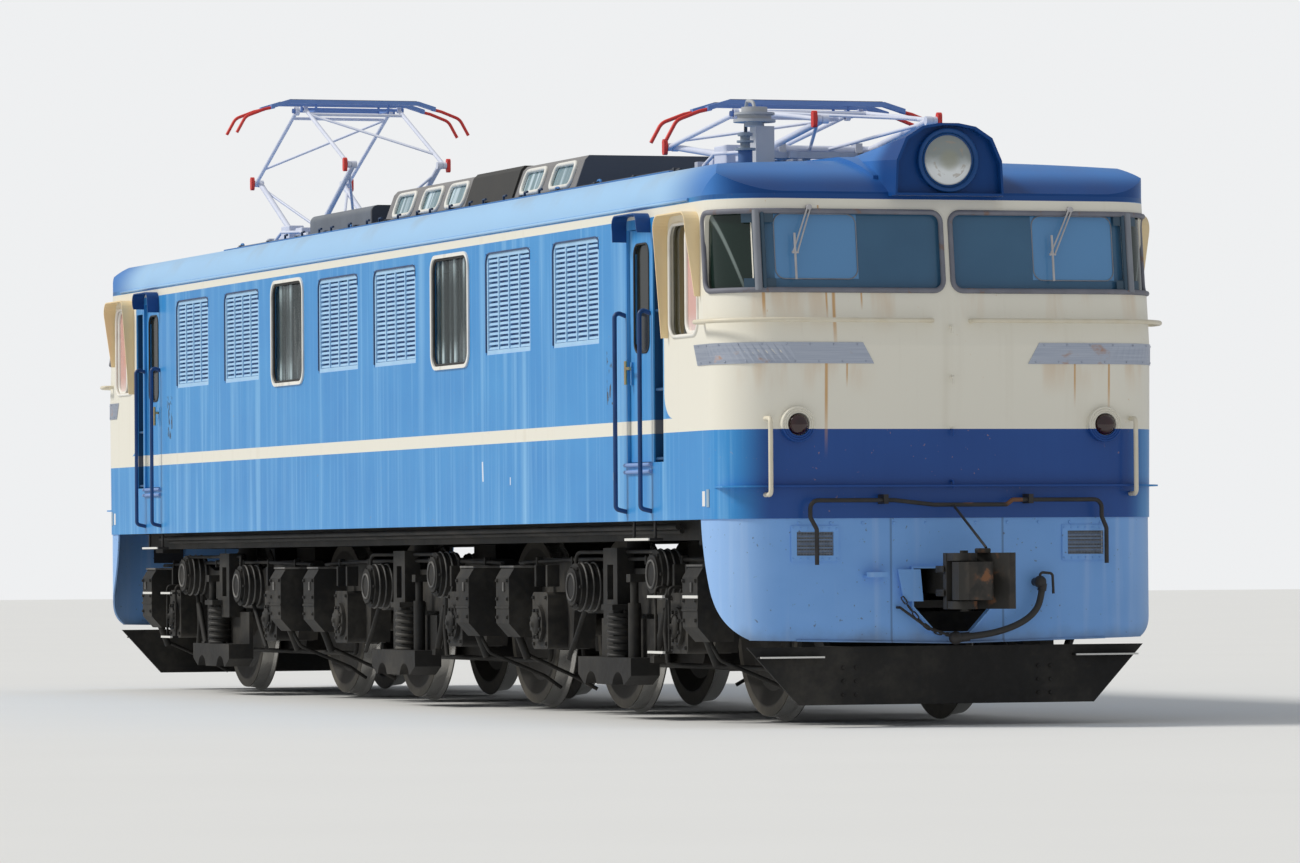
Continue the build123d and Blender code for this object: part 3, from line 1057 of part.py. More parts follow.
bases = []
for name, x0 in PAN_X.items():
    theta = PAN_REST[name]
    run = PAN_BASE_HALF + LOWER_ARM * cos(radians(theta)) - PAN_APEX_HALF
    phi = degrees(acos(run / UPPER_ARM))
    knee_x = PAN_BASE_HALF + LOWER_ARM * cos(radians(theta))
    knee_z = PAN_BASE_Z + LOWER_ARM * sin(radians(theta))
    apex_z = knee_z + UPPER_ARM * sin(radians(phi))
    print("pantograph", name, "theta", theta, "phi", round(phi, 3), "knee", round(knee_x, 2), round(knee_z, 2),
          "apex", round(apex_z, 2))
    bases.append(Pos(x0, 0, 0) * pantograph_base())
    low = lower_arm(theta)
    ahead = Pos(x0 + PAN_BASE_HALF, 0, PAN_BASE_Z) * low
    behind = Pos(x0 - PAN_BASE_HALF, 0, PAN_BASE_Z) * turned(low)
    save("pantograph_%s_lower_front" % name, ahead)
    save("pantograph_%s_lower_rear" % name, behind)
    save("pantograph_%s_upper_front" % name, Pos(x0 + knee_x, 0, knee_z) * upper_arm(phi, 1, PIN_R + RUN_GAP))
    save("pantograph_%s_upper_rear" % name,
         Pos(x0 - knee_x, 0, knee_z) * turned(upper_arm(phi, 1, PIN_R + OPEN_EYE)))
    save("pantograph_%s_head" % name, Pos(x0, 0, apex_z) * pan_head())
roof_all = roof_outer + dome_top + turned(dome_top)
save("pantograph_bases", [b - roof_all for b in bases])
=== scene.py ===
import math
import bpy
from mathutils import Matrix, Vector


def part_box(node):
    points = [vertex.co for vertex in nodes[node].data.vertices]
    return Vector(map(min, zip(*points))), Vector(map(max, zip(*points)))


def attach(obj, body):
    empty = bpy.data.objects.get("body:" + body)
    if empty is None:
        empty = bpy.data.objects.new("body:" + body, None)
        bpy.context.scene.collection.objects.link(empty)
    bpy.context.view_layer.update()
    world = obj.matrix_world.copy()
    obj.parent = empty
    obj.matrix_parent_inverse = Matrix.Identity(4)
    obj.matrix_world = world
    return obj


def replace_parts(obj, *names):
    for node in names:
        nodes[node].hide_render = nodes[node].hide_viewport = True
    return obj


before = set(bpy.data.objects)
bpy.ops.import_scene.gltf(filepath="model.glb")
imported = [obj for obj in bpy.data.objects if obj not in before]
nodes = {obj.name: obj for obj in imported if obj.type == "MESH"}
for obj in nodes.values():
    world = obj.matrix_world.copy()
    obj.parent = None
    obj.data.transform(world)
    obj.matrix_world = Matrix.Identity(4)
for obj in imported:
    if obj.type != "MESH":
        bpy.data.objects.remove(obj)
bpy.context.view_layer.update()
scene = bpy.context.scene
scene.view_settings.view_transform = "Standard"
# The rail's top over the flange tips, where z is 0
RAIL = 0.028

# Camera
# A long lens low beside the track, looking back along the locomotive from ahead of it.
# Its place, turn and focal length in pixels were solved from points of the object in the photograph.
PHOTO_WIDTH, FOCAL_LENGTH, SENSOR = 1300, 6804, 36
EYE = (45.402, -14.545, 0.970)
yaw, pitch, roll = (math.radians(a) for a in (161.466, 1.116, -0.397))
forward = Vector((math.cos(yaw) * math.cos(pitch), math.sin(yaw) * math.cos(pitch), math.sin(pitch)))
across = Vector((math.sin(yaw), -math.cos(yaw), 0))
upward = across.cross(forward)
right = across * math.cos(roll) + upward * math.sin(roll)
above = upward * math.cos(roll) - across * math.sin(roll)
camera = bpy.data.objects.new("camera", bpy.data.cameras.new("camera"))
camera.matrix_world = Matrix.Translation(EYE) @ Matrix((right, above, -forward)).transposed().to_4x4()
camera.data.lens = SENSOR * FOCAL_LENGTH / PHOTO_WIDTH
camera.data.clip_end = 400
scene.collection.objects.link(camera)
scene.camera = camera


# Studio
# A pale floor that runs out to an equally pale background, a soft key light from the near side
# and even light from the sky, so that the end of the cab lies in its own soft shade.
def feed(tree, socket, value):
    """Links a value to a socket, or sets it there, a colour with its alpha."""
    if isinstance(value, Sock):
        tree.links.new(value.socket, socket)
    else:
        socket.default_value = (*value, 1) if socket.type == "RGBA" else value


def operation(name, turned=False):
    """A method that makes a Math node of a socket and the other values, in turned order if asked."""
    def join(self, *others):
        values = (*others, self) if turned else (self, *others)
        return self.node("Math", {"operation": name}, dict(enumerate(values)))

    return join


class Sock:
    """One socket of a finish's node tree, so that a finish is written as sums of sockets."""

    def __init__(self, tree, socket):
        self.tree, self.socket = tree, socket

    def node(self, kind, settings=(), inputs=(), out=0):
        """One shader node: its settings first, then the values or links of its sockets."""
        made = self.tree.nodes.new("ShaderNode" + kind)
        for name, value in dict(settings).items():
            setattr(made, name, value)
        for name, value in dict(inputs).items():
            feed(self.tree, made.inputs[name], value)
        return Sock(self.tree, made.outputs[out])

    __add__ = __radd__ = operation("ADD")
    __sub__, __rsub__ = operation("SUBTRACT"), operation("SUBTRACT", turned=True)
    __mul__ = __rmul__ = operation("MULTIPLY")
    __gt__, __lt__ = operation("GREATER_THAN"), operation("LESS_THAN")
    __or__, __abs__ = operation("MAXIMUM"), operation("ABSOLUTE")

    def ramp(self, low, high):
        """0 below low and 1 above high, smooth between; low may be the higher number."""
        inputs = {0: self, 1: low, 2: high, 3: 0.0, 4: 1.0}
        return self.node("MapRange", {"interpolation_type": "SMOOTHSTEP"}, inputs)

    def between(self, low, high):
        return (self > low) * (self < high)

    def tint(self, colour, other):
        """colour where this is 0 and other where it is 1."""
        return self.node("Mix", {"data_type": "RGBA"}, {0: self, 6: colour, 7: other}, out=2)

    def noise(self, scale, stretch=(1, 1, 1), detail=3):
        """Cloudy noise from 0 to 1 over this position, with the position stretched first."""
        place = self.node("VectorMath", {"operation": "MULTIPLY"}, {0: self, 1: stretch})
        return self.node("TexNoise", {}, {"Vector": place, "Scale": scale, "Detail": detail})

    def parts(self):
        """A position's x, y and z."""
        outputs = self.node("SeparateXYZ", {}, {0: self}).socket.node.outputs
        return [Sock(self.tree, one) for one in outputs]


slots = {}


def finish(name, slot=None):
    """A new material and its Object coordinates; slot, the record's slot name, is kept in slots under its
    name.
    """
    made = bpy.data.materials.new(name)
    made.use_nodes = True
    slots[name] = slot
    return made, Sock(made.node_tree, made.node_tree.nodes.new("ShaderNodeTexCoord").outputs["Object"])


def lay_on(made, colour, rough, height=None, depth=0.002, **fixed):
    """Joins a finish's colour, roughness and relief to its shader; fixed are the shader's other inputs."""
    tree = made.node_tree
    shader = tree.nodes["Principled BSDF"]
    if height is not None:
        fixed["Normal"] = height.node("Bump", {}, {"Strength": 0.6, "Distance": depth, "Height": height})
    for name, value in {"Base Color": colour, "Roughness": rough, **fixed}.items():
        feed(tree, shader.inputs[name.replace("_", " ")], value)
    return made


def clouded(name, slot, scale, colour, other, rough, stretch=(1, 1, 1), **fixed):
    """A finish of two colours that run into each other in clouds."""
    made, p = finish(name, slot)
    return lay_on(made, p.noise(scale, stretch).tint(colour, other), rough, **fixed)


def mesh_of(name, points, edges=(), faces=()):
    made = bpy.data.meshes.new(name)
    made.from_pydata([tuple(q) for q in points], edges, faces)
    return made


FLOOR_X, FLOOR_Y, FLOOR_Z = (-160, 60), 90, -0.003
floor_paint = clouded("floor_paint", None, 0.4, (0.78, 0.78, 0.77), (0.81, 0.81, 0.80), 0.9,
                      Specular_IOR_Level=0.1)
floor_y = (-FLOOR_Y, -FLOOR_Y, FLOOR_Y, FLOOR_Y)
floor_points = [(x, y, FLOOR_Z) for x, y in zip((*FLOOR_X, *FLOOR_X[::-1]), floor_y)]
floor = bpy.data.objects.new("floor", mesh_of("floor", floor_points, faces=[(0, 1, 2, 3)]))
floor.data.materials.append(floor_paint)
scene.collection.objects.link(floor)
world = bpy.data.worlds.new("sky")
scene.world = world
world.use_nodes = True
sky = world.node_tree
seen = sky.nodes.new("ShaderNodeLightPath")
rays = Sock(sky, seen.outputs["Is Camera Ray"]) | Sock(sky, seen.outputs["Is Transmission Ray"])
sky_light = rays.node("Background", {}, {"Color": (0.93, 0.96, 1), "Strength": 0.46})
backdrop = rays.node("Background", {}, {"Color": (0.86, 0.87, 0.88), "Strength": 1.0})
chosen = rays.node("MixShader", {}, {0: rays, 1: sky_light, 2: backdrop})
sky.links.new(chosen.socket, sky.nodes["World Output"].inputs["Surface"])
key = bpy.data.objects.new("key", bpy.data.lights.new("key", "SUN"))
key.data.energy = 2.3
key.data.angle = math.radians(14)
key.data.color = (1, 0.97, 0.91)
key.rotation_euler = Vector((0.30, 0.80, -0.80)).to_track_quat("-Z", "Y").to_euler()
scene.collection.objects.link(key)

# Brake hoses
# A reinforced rubber hose at each end, clamped to its tap and to a coupling head that hangs from a
# bracket by a link. The hose hangs free between the two in one bow, on the points of its CAD route.
HOSE_RADIUS = 0.020
HOSE_POINTS = [(7.710, 0.545, 0.796), (7.713, 0.532, 0.718), (7.716, 0.480, 0.650), (7.719, 0.395, 0.598),
               (7.720, 0.290, 0.561), (7.720, 0.180, 0.538), (7.720, 0.075, 0.528)]
hose_rubber, p = finish("hose_rubber", "rubber")
cover = p.noise(60)
lay_on(hose_rubber, cover.tint((0.012, 0.012, 0.012), (0.05, 0.047, 0.043)), cover.ramp(0.2, 0.9) * 0.3 + 0.5,
       cover, 0.001)
ends = (("front", 1), ("rear", -1))
for end, sign in ends:
    line = bpy.data.curves.new("brake_hose_" + end, "CURVE")
    line.dimensions = "3D"
    line.bevel_depth = HOSE_RADIUS
    line.bevel_resolution = 5
    line.resolution_u = 10
    line.use_fill_caps = True
    spline = line.splines.new("NURBS")
    spline.points.add(len(HOSE_POINTS) - 1)
    for at, (x, y, z) in zip(spline.points, HOSE_POINTS):
        at.co = (x * sign, y * sign, z, 1)
    spline.order_u = 3
    spline.use_endpoint_u = True
    line.materials.append(hose_rubber)
    hose = bpy.data.objects.new("hose_" + end, line)
    scene.collection.objects.link(hose)
    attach(hose, "body")
    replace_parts(hose, "brake_hose_" + end)


# Bars, studs and coils
# Everything round that follows a line, from gaskets to brake rods, and the heads of rivets and bolts,
# come from small node trees whose result is kept as plain mesh.
def step(tree, kind, **inputs):
    """One geometry node: a name in small letters is a setting, the others are its sockets."""
    made = tree.nodes.new(kind if kind.startswith("Function") else "GeometryNode" + kind)
    for name, value in inputs.items():
        if name.islower():
            setattr(made, name, value)
            continue
        socket = made.inputs[name.replace("_", " ")]
        if isinstance(value, bpy.types.Node):
            value = value.outputs[0]
        if isinstance(value, bpy.types.NodeSocket):
            tree.links.new(value, socket)
        else:
            socket.default_value = value
    return made


trees = {}


def tree_of(build, material, numbers):
    """The tree of build's nodes for one material, made once, with the numbers as its inputs."""
    if (build, material) not in trees:
        tree = bpy.data.node_groups.new("%s_of_%s" % (build.__name__, material.name), "GeometryNodeTree")
        kinds = {name: "Int" if isinstance(value, int) else "Float" for name, value in numbers.items()}
        for name, kind in {"Geometry": "Geometry", **kinds}.items():
            tree.interface.new_socket(name, in_out="INPUT", socket_type="NodeSocket" + kind)
        tree.interface.new_socket("Geometry", in_out="OUTPUT", socket_type="NodeSocketGeometry")
        whole = step(tree, "RealizeInstances", Geometry=build(tree, tree.nodes.new("NodeGroupInput").outputs))
        done = step(tree, "SetMaterial", Geometry=whole, Material=material)
        tree.links.new(done.outputs[0], tree.nodes.new("NodeGroupOutput").inputs[0])
        trees[build, material] = tree
    return trees[build, material]


def grown(name, source, build, material, body, slot, **numbers):
    """source with build's nodes on it, made a plain mesh that rides on the body."""
    made = bpy.data.objects.new(name, source)
    scene.collection.objects.link(made)
    growth = made.modifiers.new("growth", "NODES")
    growth.node_group = tree_of(build, material, numbers)
    for item in growth.node_group.interface.items_tree:
        if item.name in numbers:
            growth[item.identifier] = numbers[item.name]
    made.update_tag()
    bpy.context.view_layer.update()
    plain = bpy.data.meshes.new_from_object(made.evaluated_get(bpy.context.evaluated_depsgraph_get()))
    made.modifiers.remove(growth)
    made.data = plain
    plain.name = name
    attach(made, body)
    slot or slots[material.name]
    return made


def bar_nodes(tree, given):
    line = step(tree, "MeshToCurve", Mesh=given["Geometry"])
    bent = step(tree, "FilletCurve", mode="POLY", Curve=line, Count=4, Limit_Radius=True,
                Radius=given["Bend"])
    ring = step(tree, "CurvePrimitiveCircle", Resolution=given["Sides"], Radius=given["Radius"])
    bar = step(tree, "CurveToMesh", Curve=bent, Profile_Curve=ring, Fill_Caps=True)
    return step(tree, "SetShadeSmooth", Geometry=bar)


def bars(name, routes, radius, material, body="body", bend=0.0, sides=8, closed=False, slot=None):
    """Round bars along routes, each a list of points."""
    points, edges = [], []
    for route in routes:
        first = len(points)
        points += route
        edges += [(first + i, first + i + 1) for i in range(len(route) - 1)]
        if closed:
            edges.append((len(points) - 1, first))
    return grown(name, mesh_of(name, points, edges), bar_nodes, material, body, slot,
                 Radius=radius, Bend=bend, Sides=sides)


def stud_nodes(tree, given):
    head = step(tree, "MeshCone", Vertices=given["Sides"], Radius_Bottom=given["Radius"],
                Radius_Top=given["Crown"], Depth=given["Height"])
    facing = step(tree, "InputNamedAttribute", data_type="FLOAT_VECTOR", Name="facing")
    turn = step(tree, "FunctionNodeAlignRotationToVector", axis="Z", Vector=facing)
    return step(tree, "InstanceOnPoints", Points=given["Geometry"], Instance=head, Rotation=turn)


def studs(name, places, radius, height, material, body="body", sides=8):
    """Rivet or bolt heads at (point, facing) places; six sides for bolts."""
    source = mesh_of(name, [q for q, _ in places])
    facing = source.attributes.new("facing", "FLOAT_VECTOR", "POINT")
    facing.data.foreach_set("vector", [c for _, way in places for c in way])
    return grown(name, source, stud_nodes, material, body, None,
                 Radius=radius, Crown=radius * 0.72, Height=height, Sides=sides)


def coil_nodes(tree, given):
    spiral = step(tree, "CurveSpiral", Resolution=18, Rotations=given["Turns"], Start_Radius=given["Radius"],
                  End_Radius=given["Radius"], Height=given["Height"])
    ring = step(tree, "CurvePrimitiveCircle", Resolution=8, Radius=given["Wire"])
    coil = step(tree, "CurveToMesh", Curve=spiral, Profile_Curve=ring, Fill_Caps=True)
    smooth = step(tree, "SetShadeSmooth", Geometry=coil)
    return step(tree, "InstanceOnPoints", Points=given["Geometry"], Instance=smooth)


def dress(material, *names):
    """Gives CAD nodes their finish."""
    for name in names:
        for held in nodes[name].material_slots:
            held.material = material


def solid(name, points, faces, material, smooth=False, body="body", edge=0.0):
    """A piece straight from its points and faces, its edges rounded off where edge isn't 0."""
    mesh = mesh_of(name, points, faces=faces)
    mesh.materials.append(material)
    if smooth:
        mesh.shade_smooth()
    made = bpy.data.objects.new(name, mesh)
    scene.collection.objects.link(made)
    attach(made, body)
    if edge:
        rounding = made.modifiers.new("edges", "BEVEL")
        rounding.width, rounding.segments = edge, 2
    return made


def plates(name, boxes, material, edge=0.0, body="body"):
    """Flat plates and bars as boxes of (x, y, z) ranges."""
    points, faces = [], []
    sides = ((0, 2, 3, 1), (4, 5, 7, 6), (0, 1, 5, 4), (2, 6, 7, 3), (0, 4, 6, 2), (1, 3, 7, 5))
    for box in boxes:
        first = len(points)
        x_ends, y_ends, z_ends = (sorted(ends) for ends in box)
        points += [(x, y, z) for z in z_ends for y in y_ends for x in x_ends]
        faces += [tuple(first + i for i in side) for side in sides]
    return solid(name, points, faces, material, body=body, edge=edge)


# Body paint
# Gloss two-tone paint over steel plate: blue with a cream line along the side, and a cream upper
# cab. The sides have faded with pale runs; the ends kept a deep blue, with rust below the glass.
STRIPE_FOOT, STRIPE_TOP, CREAM_TOP, CREAM_REAR, CREAM_CORNER = 1.733, 1.817, 3.100, 6.47, 0.16
quarters = [(sx, s) for sx in (-1, 1) for s in (-1, 1)]


def livery(p):
    """Where the paint is cream, the blue beside it, two kinds of runs, and where the side is."""
    x, y, z = p.parts()
    h, along, out = z - RAIL, abs(x), abs(y)
    line = h.between(STRIPE_FOOT, STRIPE_TOP) | h.between(3.048, CREAM_TOP)
    # Ahead of the doors the cream reaches down to the line, with a rounded lower corner
    du, dh = (CREAM_REAR + CREAM_CORNER - along) | 0.0, (STRIPE_TOP + CREAM_CORNER - h) | 0.0
    corner = (du * du + dh * dh) < CREAM_CORNER ** 2
    cream = line | h.between(STRIPE_FOOT, CREAM_TOP) * (along > CREAM_REAR) * corner
    side = out.ramp(1.12, 1.36)
    runs = p.noise(1.0, (7.0, 7.0, 0.22), 5)
    fine = p.noise(1.0, (26.0, 26.0, 0.5))
    cloud = p.noise(1.1, (1, 1, 1.6), 4)
    pale = (runs.ramp(0.50, 0.72) * 0.55 + fine.ramp(0.52, 0.75) * 0.35) * side
    faded = cloud.tint((0.022, 0.225, 0.590), (0.060, 0.330, 0.700))
    faded = pale.tint(faded, (0.24, 0.52, 0.82))
    deep = (cloud * 0.8 + fine * 0.2).tint((0.006, 0.050, 0.235), (0.016, 0.088, 0.350))
    return cream, side.tint(deep, faded), runs, fine, side


def painted(name):
    made, p = finish(name)
    x, y, z = p.parts()
    h, along, out = z - RAIL, abs(x), abs(y)
    cream, blue, runs, fine, side = livery(p)
    dirt = runs.ramp(0.55, 0.78) * 0.22 + fine.ramp(0.60, 0.8) * 0.12
    colour = cream.tint(blue, dirt.tint((0.83, 0.80, 0.70), (0.62, 0.56, 0.44)))
    # Rust: columns on the end as place across, half width, top and length
    rust = None
    for place, half, top, length in (
            (-0.775, 0.010, 2.56, 0.22), (-0.730, 0.014, 2.56, 0.42), (-0.556, 0.009, 2.56, 0.14),
            (-0.79, 0.014, 2.12, 0.58), (-0.66, 0.008, 2.12, 0.16), (1.01, 0.009, 2.12, 0.34),
            (0.79, 0.008, 2.12, 0.28), (-1.16, 0.014, 2.56, 0.22), (-0.80, 0.008, 3.06, 0.05)):
        run = abs(y - place + (fine - 0.5) * 0.012).ramp(half, half * 0.3)
        run = run * h.ramp(top - length, top - length * 0.3) * (h < top)
        rust = run if rust is None else rust | run
    fall = h.ramp(2.26, 2.54) * (h < 2.56) | h.ramp(1.90, 2.11) * (h < 2.12) * out.ramp(0.45, 0.65)
    rust = (rust | p.noise(1.0, (1, 5.5, 0.9), 4).ramp(0.48, 0.68) * fall * 0.38) * (along > 7.2)
    speck = p.noise(38.0, detail=2).ramp(0.70, 0.78) * p.noise(2.2, detail=2).ramp(0.48, 0.62)
    stain = (rust * 0.85) | (speck * 0.40)
    colour = stain.tint(colour, (0.60, 0.33, 0.11))
    # Bare scrapes beside the rear handrail
    scrape = along.between(5.36, 5.52) * h.between(1.93, 2.26) * p.noise(14.0, (2.2, 1, 1.0)).ramp(0.56, 0.60)
    colour = (scrape * side).tint(colour, (0.045, 0.06, 0.085))
    # White chips, and the dark joints of the panel under each door
    tall = abs(x - 2.735 + (h - 1.55) * 0.08).ramp(0.020, 0.006) * h.between(1.49, 1.62)
    small = abs(x - 3.34).ramp(0.012, 0.004) | abs(x - 5.48).ramp(0.014, 0.004)
    chip = tall | small * h.between(1.46, 1.51)
    colour = (chip * side * 0.9).tint(colour, (0.86, 0.88, 0.90))
    joint = abs(along - 5.741).ramp(0.006, 0.002) | abs(along - 6.223).ramp(0.006, 0.002)
    colour = (joint * (h < 1.555) * side * 0.8).tint(colour, (0.05, 0.12, 0.28))
    # The strip above the cab's wall takes the dome's deep blue towards the front: the same painted shade as
    # the dome's front
    colour = ((h > 3.103) * along.ramp(6.8, 7.3) * 0.85).tint(colour, (0.004, 0.060, 0.240))
    # The ladder niche lies in shade, and each door's pane looks nearly black
    niche = along.between(6.262, 6.452) * (out < 1.390)
    colour = (niche * 0.8).tint(colour, (0.006, 0.016, 0.055))
    pane = along.between(5.851, 6.136) * z.between(2.259, 2.927) * (out < 1.372)
    colour = pane.tint(colour, (fine * 0.5).tint((0.008, 0.009, 0.007), (0.045, 0.050, 0.045)))
    rough = (runs * 0.18 + 0.30 + stain * 0.3) * (pane * -0.7 + 1.0)
    return lay_on(made, colour, rough, p.noise(3.5, detail=2) + stain * 0.5, 0.0015, Specular_IOR_Level=0.34,
                  Coat_Weight=0.12, Coat_Roughness=0.14)


dress(painted("body_paint"), "cab_shell_front", "cab_shell_rear", "side_left", "side_right",
      "door_front_left", "door_front_right", "door_rear_left", "door_rear_right")

# Louvres
# Paler blue slats in front of a shaded blue wall. A dark line of shade follows the upper edge of
# each opening, and comes down on the side nearer the sun.
louvre_paint, p = finish("louvre_paint")
streaks = p.noise(1.0, (9.0, 9.0, 0.6), 4)
lay_on(louvre_paint, streaks.tint((0.30, 0.53, 0.80), (0.46, 0.68, 0.88)), streaks * 0.2 + 0.35,
       Specular_IOR_Level=0.34)
dress(louvre_paint, "louvres_left", "louvres_right")
shaded_blue = clouded("shaded_blue", "blue_paint", 3.0, (0.16, 0.27, 0.56), (0.24, 0.38, 0.68), 0.6)
edge_blue = clouded("edge_blue", "blue_paint", 9.0, (0.010, 0.030, 0.100), (0.035, 0.090, 0.220), 0.5)
openings = [(sx * a, sx * b) for sx in (-1, 1) for a, b in ((0.204, 1.210), (2.830, 3.790), (4.270, 5.210))]
louvre_backs = [((a, b), (s * 1.350, s * 1.3535), (2.360, 2.990)) for a, b in openings for s in (-1, 1)]
plates("louvre_backs", louvre_backs, shaded_blue)
edges = []
for a, b in openings:
    for s in (-1, 1):
        # From the foot of the edge nearer the sun, round its upper corner and along the top
        foot, far = sorted((a, b), reverse=s > 0)
        r, lean = 0.07, -s
        line = [(foot, 2.36)]
        line += [(foot + lean * r * (1 - math.cos(t)), 2.938 + r * math.sin(t))
                 for t in (0.0, 0.4, 0.8, 1.2, 1.57)]
        line += [(far - lean * 0.06, 3.008), (far, 2.985), (far, 2.93)]
        edges.append([(x_at, s * 1.399, z_at) for x_at, z_at in line])
bars("louvre_edges", edges, 0.0065, edge_blue, sides=6)

# Rain hoods
# A bent sheet over each door, painted blue, and over each cab side window, painted cream, both
# darkened by painted shade, the cream to a tan. Its upper corners are rounded, and its legs taper
# down along the wall.
hood_paint, p = finish("hood_paint", "blue_paint")
shade = p.noise(4.0, (1, 1, 0.5))
# The blue is a deep navy and the cream a tan: the hood's paint darkened as painted shade
shaded_hood_blue = shade.tint((0.004, 0.040, 0.170), (0.016, 0.085, 0.290))
shaded_hood_cream = shade.tint((0.92, 0.76, 0.50), (0.86, 0.66, 0.36))
lay_on(hood_paint, (abs(p.parts()[0]) > 6.45).tint(shaded_hood_blue, shaded_hood_cream), shade * 0.2 + 0.35,
       Specular_IOR_Level=0.34)
HOOD_SKIN, HOOD_REACH, WALL = 0.008, 0.095, 1.400
hood_points, hood_faces = [], []


def rain_hood(sx, s, x0, x1, top, rear, front, bend):
    """One hood from x0 to x1; rear and front give each leg's foot height and its reach there."""
    arc = [math.radians(a) for a in range(0, 91, 15)]
    knee = (top - bend - 0.03, 0.092)
    line = [(x0, *rear, -1, 0), (x0, *knee, -1, 0)]
    line += [(x0 + bend - bend * math.cos(a), top - bend + bend * math.sin(a), HOOD_REACH,
              -math.cos(a), math.sin(a)) for a in arc]
    line += [(x1 - bend + bend * math.sin(a), top - bend + bend * math.cos(a), HOOD_REACH,
              math.sin(a), math.cos(a)) for a in arc]
    line += [(x1, *knee, 1, 0), (x1, *front, 1, 0)]
    first, count = len(hood_points), len(line)
    for x, z, reach, nx, nz in line:
        near, far = (x, z), (x + nx * HOOD_SKIN, z + nz * HOOD_SKIN)
        for q, y in ((near, WALL), (near, WALL + reach), (far, WALL + reach), (far, WALL)):
            hood_points.append((sx * q[0], s * y, q[1]))
    for a in range(first, first + 4 * (count - 1), 4):
        b = a + 4
        hood_faces.extend((a + i, a + (i + 1) % 4, b + (i + 1) % 4, b + i) for i in range(4))
    last = first + 4 * (count - 1)
    hood_faces.extend([(first, first + 3, first + 2, first + 1), (last, last + 1, last + 2, last + 3)])


for sx, s in quarters:
    rain_hood(sx, s, 5.762, 6.220, 3.097, (2.945, 0.090), (2.985, 0.085), 0.055)
    rain_hood(sx, s, 6.552, 7.138, 3.062, (2.330, 0.045), (2.560, 0.034), 0.075)
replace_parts(solid("rain_hoods", hood_points, hood_faces, hood_paint), "hoods")

# Roof and cab domes
# Rolled steel roof with round shoulders and flat hatch covers, painted a plain blue. The shoulders
# carry a painted highlight of sun and sky, the domes' fronts a painted shade, and a gutter strip
# closes the joint with the wall.
roof_paint, p = finish("roof_paint", "roof_blue")
x, y, z = p.parts()
bleached = p.noise(1.0, (1.4, 5.0, 5.0), 4)
blue = bleached.tint((0.030, 0.180, 0.480), (0.080, 0.290, 0.640))
# The shoulders are painted paler: a painted highlight of sun and sky along their curve
blue = (abs(y).ramp(0.9, 1.25) * 0.85).tint(blue, (0.40, 0.64, 0.90))
dust = p.noise(2.6, detail=5).ramp(0.5, 0.75) * (z - RAIL).ramp(3.14, 3.34) * 0.35
blue = dust.tint(blue, (0.36, 0.38, 0.37))
blue = (z > 3.402).tint(blue, bleached.tint((0.030, 0.150, 0.420), (0.060, 0.240, 0.560)))
dome_blue_and_shade = bleached.tint((0.030, 0.150, 0.460), (0.060, 0.230, 0.600))
# The dome's front is painted a deeper blue: painted shade where it faces away from the light
dome_blue_and_shade = abs(x).ramp(7.25, 7.50).tint(dome_blue_and_shade, bleached.tint((0.001, 0.042, 0.190), (0.006, 0.066, 0.260)))
lay_on(roof_paint, abs(x).ramp(6.3, 7.3).tint(blue, dome_blue_and_shade), bleached * 0.25 + 0.28, p.noise(3.0),
       Specular_IOR_Level=0.22, Coat_Weight=0.06, Coat_Roughness=0.12)
dress(roof_paint, "roof_main", "cab_roofs")
bolt_paint = clouded("bolt_paint", "roof_blue", 30, (0.010, 0.030, 0.080), (0.06, 0.09, 0.15), 0.55)
gutters = [[(sx * 6.95, s * 1.404, RAIL + 3.118) for sx in (-1, 1)] for s in (-1, 1)]
bars("gutters", gutters, 0.010, roof_paint, sides=6)
hatch_strips = [((-5.36, 5.36), (s * 0.985, s * 0.953), (3.352, 3.416)) for s in (-1, 1)]
plates("hatch_strips", hatch_strips, roof_paint, 0.004)
BOLT_STEP, BOLTS_EACH_WAY = 0.085, 62
bolts = [((i * BOLT_STEP, s * 0.987, 3.366), (0, s, 0))
         for i in range(-BOLTS_EACH_WAY, BOLTS_EACH_WAY + 1) for s in (-1, 1)]
studs("hatch_bolts", bolts, 0.013, 0.010, bolt_paint, sides=6)
feet = [(i * 0.42 + 0.05 * (i % 3), s * 0.93) for i in range(-9, 7) for s in (-1, 1)]
bars("roof_brackets", [[(a, b, 3.412), (a, b, 3.452), (a + 0.06, b, 3.452)] for a, b in feet],
     0.009, bolt_paint, sides=6)
plates("hatch_seams", [((a - 0.018, a + 0.018), (-0.95, 0.95), (3.404, 3.414))
                       for a in (-5.2, -4.3, -2.2, 2.75, 3.9, 5.2)], roof_paint, 0.003)
feet = [(a, s * 0.86) for a in (-5.3, -2.3, 2.66, 3.55) for s in (-1, 1)]
eyes = [[(a, b, 3.405), (a, b, 3.455), (a + 0.07, b, 3.455), (a + 0.07, b, 3.405)] for a, b in feet]
bars("lifting_eyes", eyes, 0.009, roof_paint, bend=0.02)

# Glass
# Flat and bent toughened glass, bluish grey from outside, in rubber gaskets that have gone grey and
# carry rust. A heated pane outline shows inside each windscreen.
CORNER, STRAIGHT = 0.38, 1.02


def cab_face(h):
    """How far forward the cab's face is at a height over the rail."""
    return 7.635 + 0.025 * (h - 1.205) / 1.025 if h < 2.23 else 7.66 - 0.11 * (h - 2.23) / 0.9


def skin(s, h, out=0.0):
    """The point of the front cab's wall at a distance s along its outline from the middle, and out of it."""
    side, past, back = math.copysign(1, s), abs(s) - STRAIGHT, cab_face(h) - CORNER
    turn = past / CORNER
    if past <= 0:
        return Vector((back + CORNER + out, s, h + RAIL))
    if turn <= math.pi / 2:
        reach = CORNER + out
        return Vector((back + reach * math.cos(turn), side * (STRAIGHT + reach * math.sin(turn)), h + RAIL))
    return Vector((back - (past - CORNER * math.pi / 2), side * (STRAIGHT + CORNER + out), h + RAIL))


